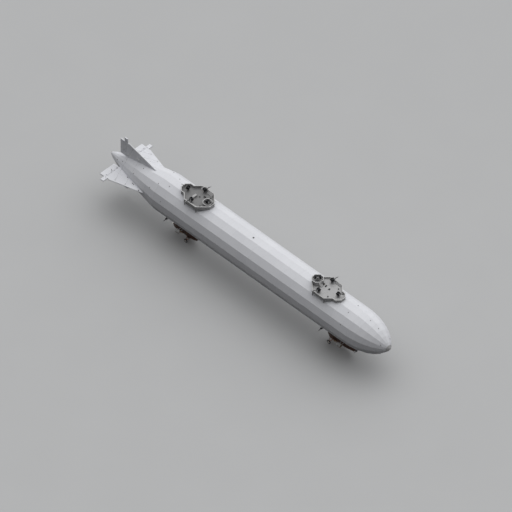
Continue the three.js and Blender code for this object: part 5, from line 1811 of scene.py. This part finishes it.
# Undercarriage and wheels, as in the frame
WHEEL = {"radius": 55, "width": 26, "y": 188, "bore": 7.3}
LEG = {"spread": 60, "hub_y": 171, "foot_y": 78, "foot_z": 116}


def mirrored(profile):
    """A profile of (height, radius) and then its mirror image below."""
    return profile + [(-height, radius) for height, radius in reversed(profile)]


def wheel():
    """A wheel about z: ribbed tyre, pressed disc with bolts, hub and cap rings."""
    piece = Piece()
    half, bore = WHEEL["width"] / 2, WHEEL["bore"]
    tyre = [(9.6, 35), (12.2, 38.5), (half, 43), (12.4, 48), (9.6, 52), (7, 53.8), (6.6, 54.8), (4.2, 55),
            (3.8, 53.6), (2.2, 53.6), (1.8, 55), (0.2, 55)]
    piece.add(turned(mirrored(tyre) + [(-8, 33), (8, 33)], 48, loop=True), RUBBER)
    piece.add(hoop(43.5, 1.0, 48, 6), RUBBER, at(0, 0, half - 0.5), at(0, 0, 0.5 - half))
    for z, tilt in ((9.6, 52), (-9.6, 128)):
        treads = [place @ swung("Y", tilt) for place in round_places(48, 52.6, z)]
        piece.add(box((-1.6, -1.2, -0.4), (1.4, 1.2, 0.8)), RUBBER, *treads)
    disc = [(half, bore), (half, 10), (11, 13.5), (8.5, 15), (5.5, 22), (5, 31), (8, 33.5), (10.4, 34.5),
            (10.4, 36.4), (9, 36.8)]
    piece.add(turned(mirrored(disc), 40, loop=True), HUB_GREY)
    for side in (at(), swung("X", 180)):
        piece.add(bolt(1.8, 1.4), DULL_STEEL, *round_places(6, 18.6, 6.8, on=side))
        piece.add(rivet(1.2, 0.8), DULL_STEEL, *round_places(16, 28.5, 5.1, on=side))
        piece.add(hoop(11.4, 1.0, 32, 6), DULL_STEEL, side @ at(0, 0, 12.2))
    piece.add(rod((24, 0, 4), (29, 0, 9.5), 1.1, 8), BRASS)
    return piece


def add_undercarriage():
    """Rubber-cord wraps, foot bolts, hub nuts and brace wires, and the wheels."""
    rolling = wheel().mesh("wheel")
    level = WHEEL["radius"]
    for end, row in GONDOLAS.items():
        piece = Piece()
        x = row["wheel"]
        for name, side in SIDES.items():
            hub = Vector((x, side * LEG["hub_y"], level))
            for foot in (x - LEG["spread"], x + LEG["spread"]):
                top = Vector((foot, side * LEG["foot_y"], LEG["foot_z"]))
                axis = facing(hub, top - hub, (0, 0, 1)) @ ALONG_X @ at(0, 0, (top - hub).length * 0.56)
                wraps = [axis @ at(0, 0, step * 2.7) for step in range(8)]
                piece.add(hoop(7.4, 1.5, 20, 6), WRAP, *wraps)
                collar = turned([(-1.5, 6), (-1.5, 9.6), (1.5, 9.6), (1.5, 6)], 16, loop=True)
                piece.add(collar, DULL_STEEL, axis @ at(0, 0, -4), axis @ at(0, 0, 22.5))
                under = at(foot, side * LEG["foot_y"], LEG["foot_z"] - 11, ("X", 180))
                piece.add(bolt(2, 1.5), DULL_STEEL, *corner_places(10, 9, on=under))
            outer = at(x, side * 202.5, level, ("X", -90 * side))
            nut = [(0, 5), (0, 11), (1.4, 11), (1.4, 8.6), (6.5, 8.6), (6.5, 5)]
            piece.add(turned(nut, 6, loop=True), BRASS, outer)
            piece.add(turned([(2.6, 0), (2.6, 6), (5, 5.6), (5.6, 4), (5.6, 0)], 16), DULL_STEEL, outer)
            body = f"{end}_{name}_wheel"
            place = at(x, side * WHEEL["y"], level, ("X", -90 * side))
            show(f"{body}_finished", rolling, body, place, [body])
        # Wires that cross under the cabin from leg to leg, and rings on the axle
        for along in (-1, 1):
            for side in (-1, 1):
                start, over = (x + along * 13, side * 160, 58), (x + along * 52, -side * 84, 105)
                piece.add(rod(start, over, 0.9, 6), DULL_STEEL)
        ring = turned([(-2, 6.8), (-2, 8.4), (2, 8.4), (2, 6.8)], 16, loop=True)
        piece.add(ring, DULL_STEEL, *[at(x, y, level, ("X", 90)) for y in range(-120, 121, 60)])
        show(f"{end}_undercarriage_fittings", piece, ROOT)


# Engines and propellers, as in the frame
ENGINE = {"y": 212, "z": 248, "half": 38, "corner": 19, "length": 125}
PROPELLER = {"radius": 105, "hub_length": 26, "z": 278, "turn": 34}


def engine_fittings(outboard):
    """One pod's louvres, exhaust, radiator and cap; x to the propeller, outboard the sign of y."""
    piece = Piece()
    half, end = ENGINE["half"], ENGINE["length"] / 2
    flat = half - ENGINE["corner"]
    outline = [(half, -flat), (half, flat), (flat, half), (-flat, half), (-half, flat), (-half, -flat),
               (-flat, -half), (flat, -half)]
    section = [(0.5, -2.4), (0.5, 2.4), (-1.2, 2.4), (-1.2, -2.4)]
    for x in (-end + 4, -18, 28, end - 4):
        band = [(x, y, z) for y, z in outline]
        piece.add(swept(band, section, up=(1, 0, 0), loop=True), ENGINE_GREY)
    for side in (1, -1):
        out = facing((0, side * half, 0), (1, 0, 0), (0, side, 0))
        for step in range(6):
            points, faces = box((0, -13, -0.4), (4.6, 13, 3.0))
            points[(points[:, 0] > 2) & (points[:, 2] > 0), 2] = 0.4
            piece.add((points, faces), ENGINE_GREY, out @ at(-12 + step * 6.2))
        xs = [x for x in np.arange(-end + 10, end - 8, 12.0) if abs(x - 4) > 22]
        studs = [out @ at(x, z) for x in xs for z in (-flat + 2, flat - 2)]
        piece.add(rivet(1.1, 0.8), DULL_STEEL, *studs)
    # Radiator at the end away from the propeller
    face = -end
    piece.add(box((face - 6, -27, -30), (face + 0.5, 27, 26)), DARK_PAINT_AND_SHADE)
    for turn, reach, wide in ((0, 28, 30), (90, 29.5, 29), (180, 31, 30), (270, 29.5, 29)):
        place = at(face - 4.4, 0, -2, ("X", turn))
        piece.add(box((-3.6, -wide, reach - 3.4), (4.6, wide, reach)), BRASS, place)
    for y in np.arange(-24, 25, 4.0):
        piece.add(box((face - 7.2, y - 0.55, -29), (face - 5.4, y + 0.55, 25)), DULL_STEEL)
    for z in (-16, -2, 12):
        piece.add(box((face - 7.6, -27, z - 0.7), (face - 5.2, 27, z + 0.7)), DULL_STEEL)
    piece.add(turned([(0, 0), (0, 6), (3, 6.4), (5, 5), (5, 0)], 16), BRASS, at(-30, 0, half - 0.4))
    piece.add(turned([(0, 0), (0, 4), (5, 4), (6, 3), (6, 0)], 12), BRASS, at(face - 2, 0, 27))
    # Exhaust stubs along the lower outboard edge into one pipe
    for x in range(-36, 31, 22):
        stub = [(x, outboard * 26, -26), (x, outboard * 34, -34), (x - 6, outboard * 37, -40)]
        piece.add(pipe(curve(stub, 4), 3.6, 10), HOT_STEEL)
        flange = facing((x, outboard * 28.2, -28.2), (1, 0, 0), (0, outboard, -1))
        piece.add(turned([(0, 0), (0, 6.4), (1.8, 6.4), (1.8, 0)], 12), DULL_STEEL, flange)
    run = [(36, 37, -40), (0, 37.5, -41), (-52, 37.5, -41), (-74, 37, -43), (-84, 36, -48)]
    main = curve([(x, outboard * y, z) for x, y, z in run], 5)
    piece.add(pipe(main, 4.8, 12), HOT_STEEL)
    # Bolts round the bearing that carries the propeller shaft, and its ribs
    ring = at(end, 0, PROPELLER["z"] - ENGINE["z"], ("Y", 90))
    piece.add(turned([(-2, 0), (-2, 24), (2.4, 24), (3.4, 22), (3.4, 0)], 28), MOUNT_GREY, ring)
    piece.add(bolt(1.8, 1.4), DULL_STEEL, *round_places(8, 20.4, 3.2, 22.5, on=ring))
    piece.add(hoop(17.2, 1.2, 28, 6), MOUNT_GREY, ring @ at(0, 0, 9), ring @ at(0, 0, 15))
    # Clamps where the arms reach the pod
    clamp = turned([(-0.5, 8), (-0.5, 14), (3, 14), (4.5, 11), (4.5, 8)], 8, loop=True)
    for x in (-37.5, 37.5):
        piece.add(clamp, MOUNT_GREY, at(x, -outboard * half, 0, ("X", 90 * outboard)))
    return piece


def blade(start, grow=0.0, steps=14):
    """A twisted blade along z with an aerofoil section and a round tip, or a sleeve on its end."""
    tip = PROPELLER["radius"]
    rings = []
    for z in np.linspace(start, tip, steps):
        chord = float(np.interp(z, (0, 12, 45, 80, 96, 102, tip), (7, 7.5, 12.4, 12, 9, 5.5, 1.2))) + grow
        thick = float(np.interp(z, (0, 12, 30, 60, tip), (10, 9, 5.2, 3.6, 1.6))) / 2 + grow
        pitch = math.radians(40 - 20 * z / tip)
        forward = np.array((math.sin(pitch), math.cos(pitch)))
        normal = np.array((math.cos(pitch), -math.sin(pitch)))
        ring = []
        for step in range(16):
            angle = 2 * math.pi * step / 16
            flatness = 1.0 if math.sin(angle) > 0 else 0.35
            along = math.cos(angle) * chord
            rise = math.sin(angle) * thick * flatness * (0.72 + 0.28 * math.cos(angle))
            ring.append((*(forward * along + normal * rise), z))
        rings.append(ring)
    return skin(rings)


def propeller():
    """A two-bladed laminated propeller about x, at its own place."""
    piece = Piece()
    half = PROPELLER["hub_length"] / 2
    bore = 6.3
    hub = [(-half + 3, bore), (-half + 3, 12.5), (half - 3, 12.5), (half - 3, bore)]
    flange = [(half - 3.4, bore), (half - 3.4, 13.4), (half - 1.2, 13.4), (half - 0.4, 12.6),
              (half - 0.4, bore)]
    piece.add(turned(hub, 28, loop=True), BLADE_WOOD, ALONG_X)
    for turn in (at(), swung("X", 180)):
        piece.add(blade(9.0), BLADE_WOOD, turn)
        piece.add(blade(80.0, 0.5, 8), BRASS, turn)
        place = ALONG_X @ turn
        piece.add(turned(flange, 28, loop=True), DULL_STEEL, place)
        piece.add(bolt(1.3, 1.0), STEEL, *round_places(6, 10, half - 0.6, on=place))
    return piece


def add_engines():
    """What lies on the engine pods, and the propellers."""
    turning = propeller().mesh("propeller")
    for end, row in GONDOLAS.items():
        toward = 1 if row["propeller"] > row["engine"] else -1
        for name, side in SIDES.items():
            place = at(row["engine"], side * ENGINE["y"], ENGINE["z"], ("Z", 90 - 90 * toward))
            fittings = engine_fittings(side * toward)
            show(f"{end}_{name}_engine_fittings", fittings, ROOT, place)
            body = f"{end}_{name}_propeller"
            spot = at(row["propeller"], side * ENGINE["y"], PROPELLER["z"], ("X", -side * PROPELLER["turn"]))
            show(f"{body}_finished", turning, body, spot, [body])


add_gondolas()
add_stern_lamp()
add_undercarriage()
add_engines()


# The carried-over nodes' finishes
def give(finish, *words):
    """Gives a finish to the carried-over nodes whose names have one of the words in them."""
    for name, node in NODES.items():
        if any(word in name for word in words):
            node.data.materials.clear()
            node.data.materials.append(finish)


# A later finish takes the place of an earlier one
give(FABRIC, "hull_bay", "cone", "_fin", "_rudder", "_elevator")
give(BLUED, "_gun")
give(MOUNT_GREY, "_gun_mount")
give(DECK_LIGHT, "fore_deck_floor", "_deck_bulwark", "_gun_ring")
give(DECK_DARK, "aft_deck_floor")
give(WOOD, "gondola_cabin", "gondola_roof", "_door")
give(BROWN_PAINT, "undercarriage")
give(ENGINE_GREY, "engine")
give(BLADE_WOOD, "propeller")
give(RUBBER, "wheel")
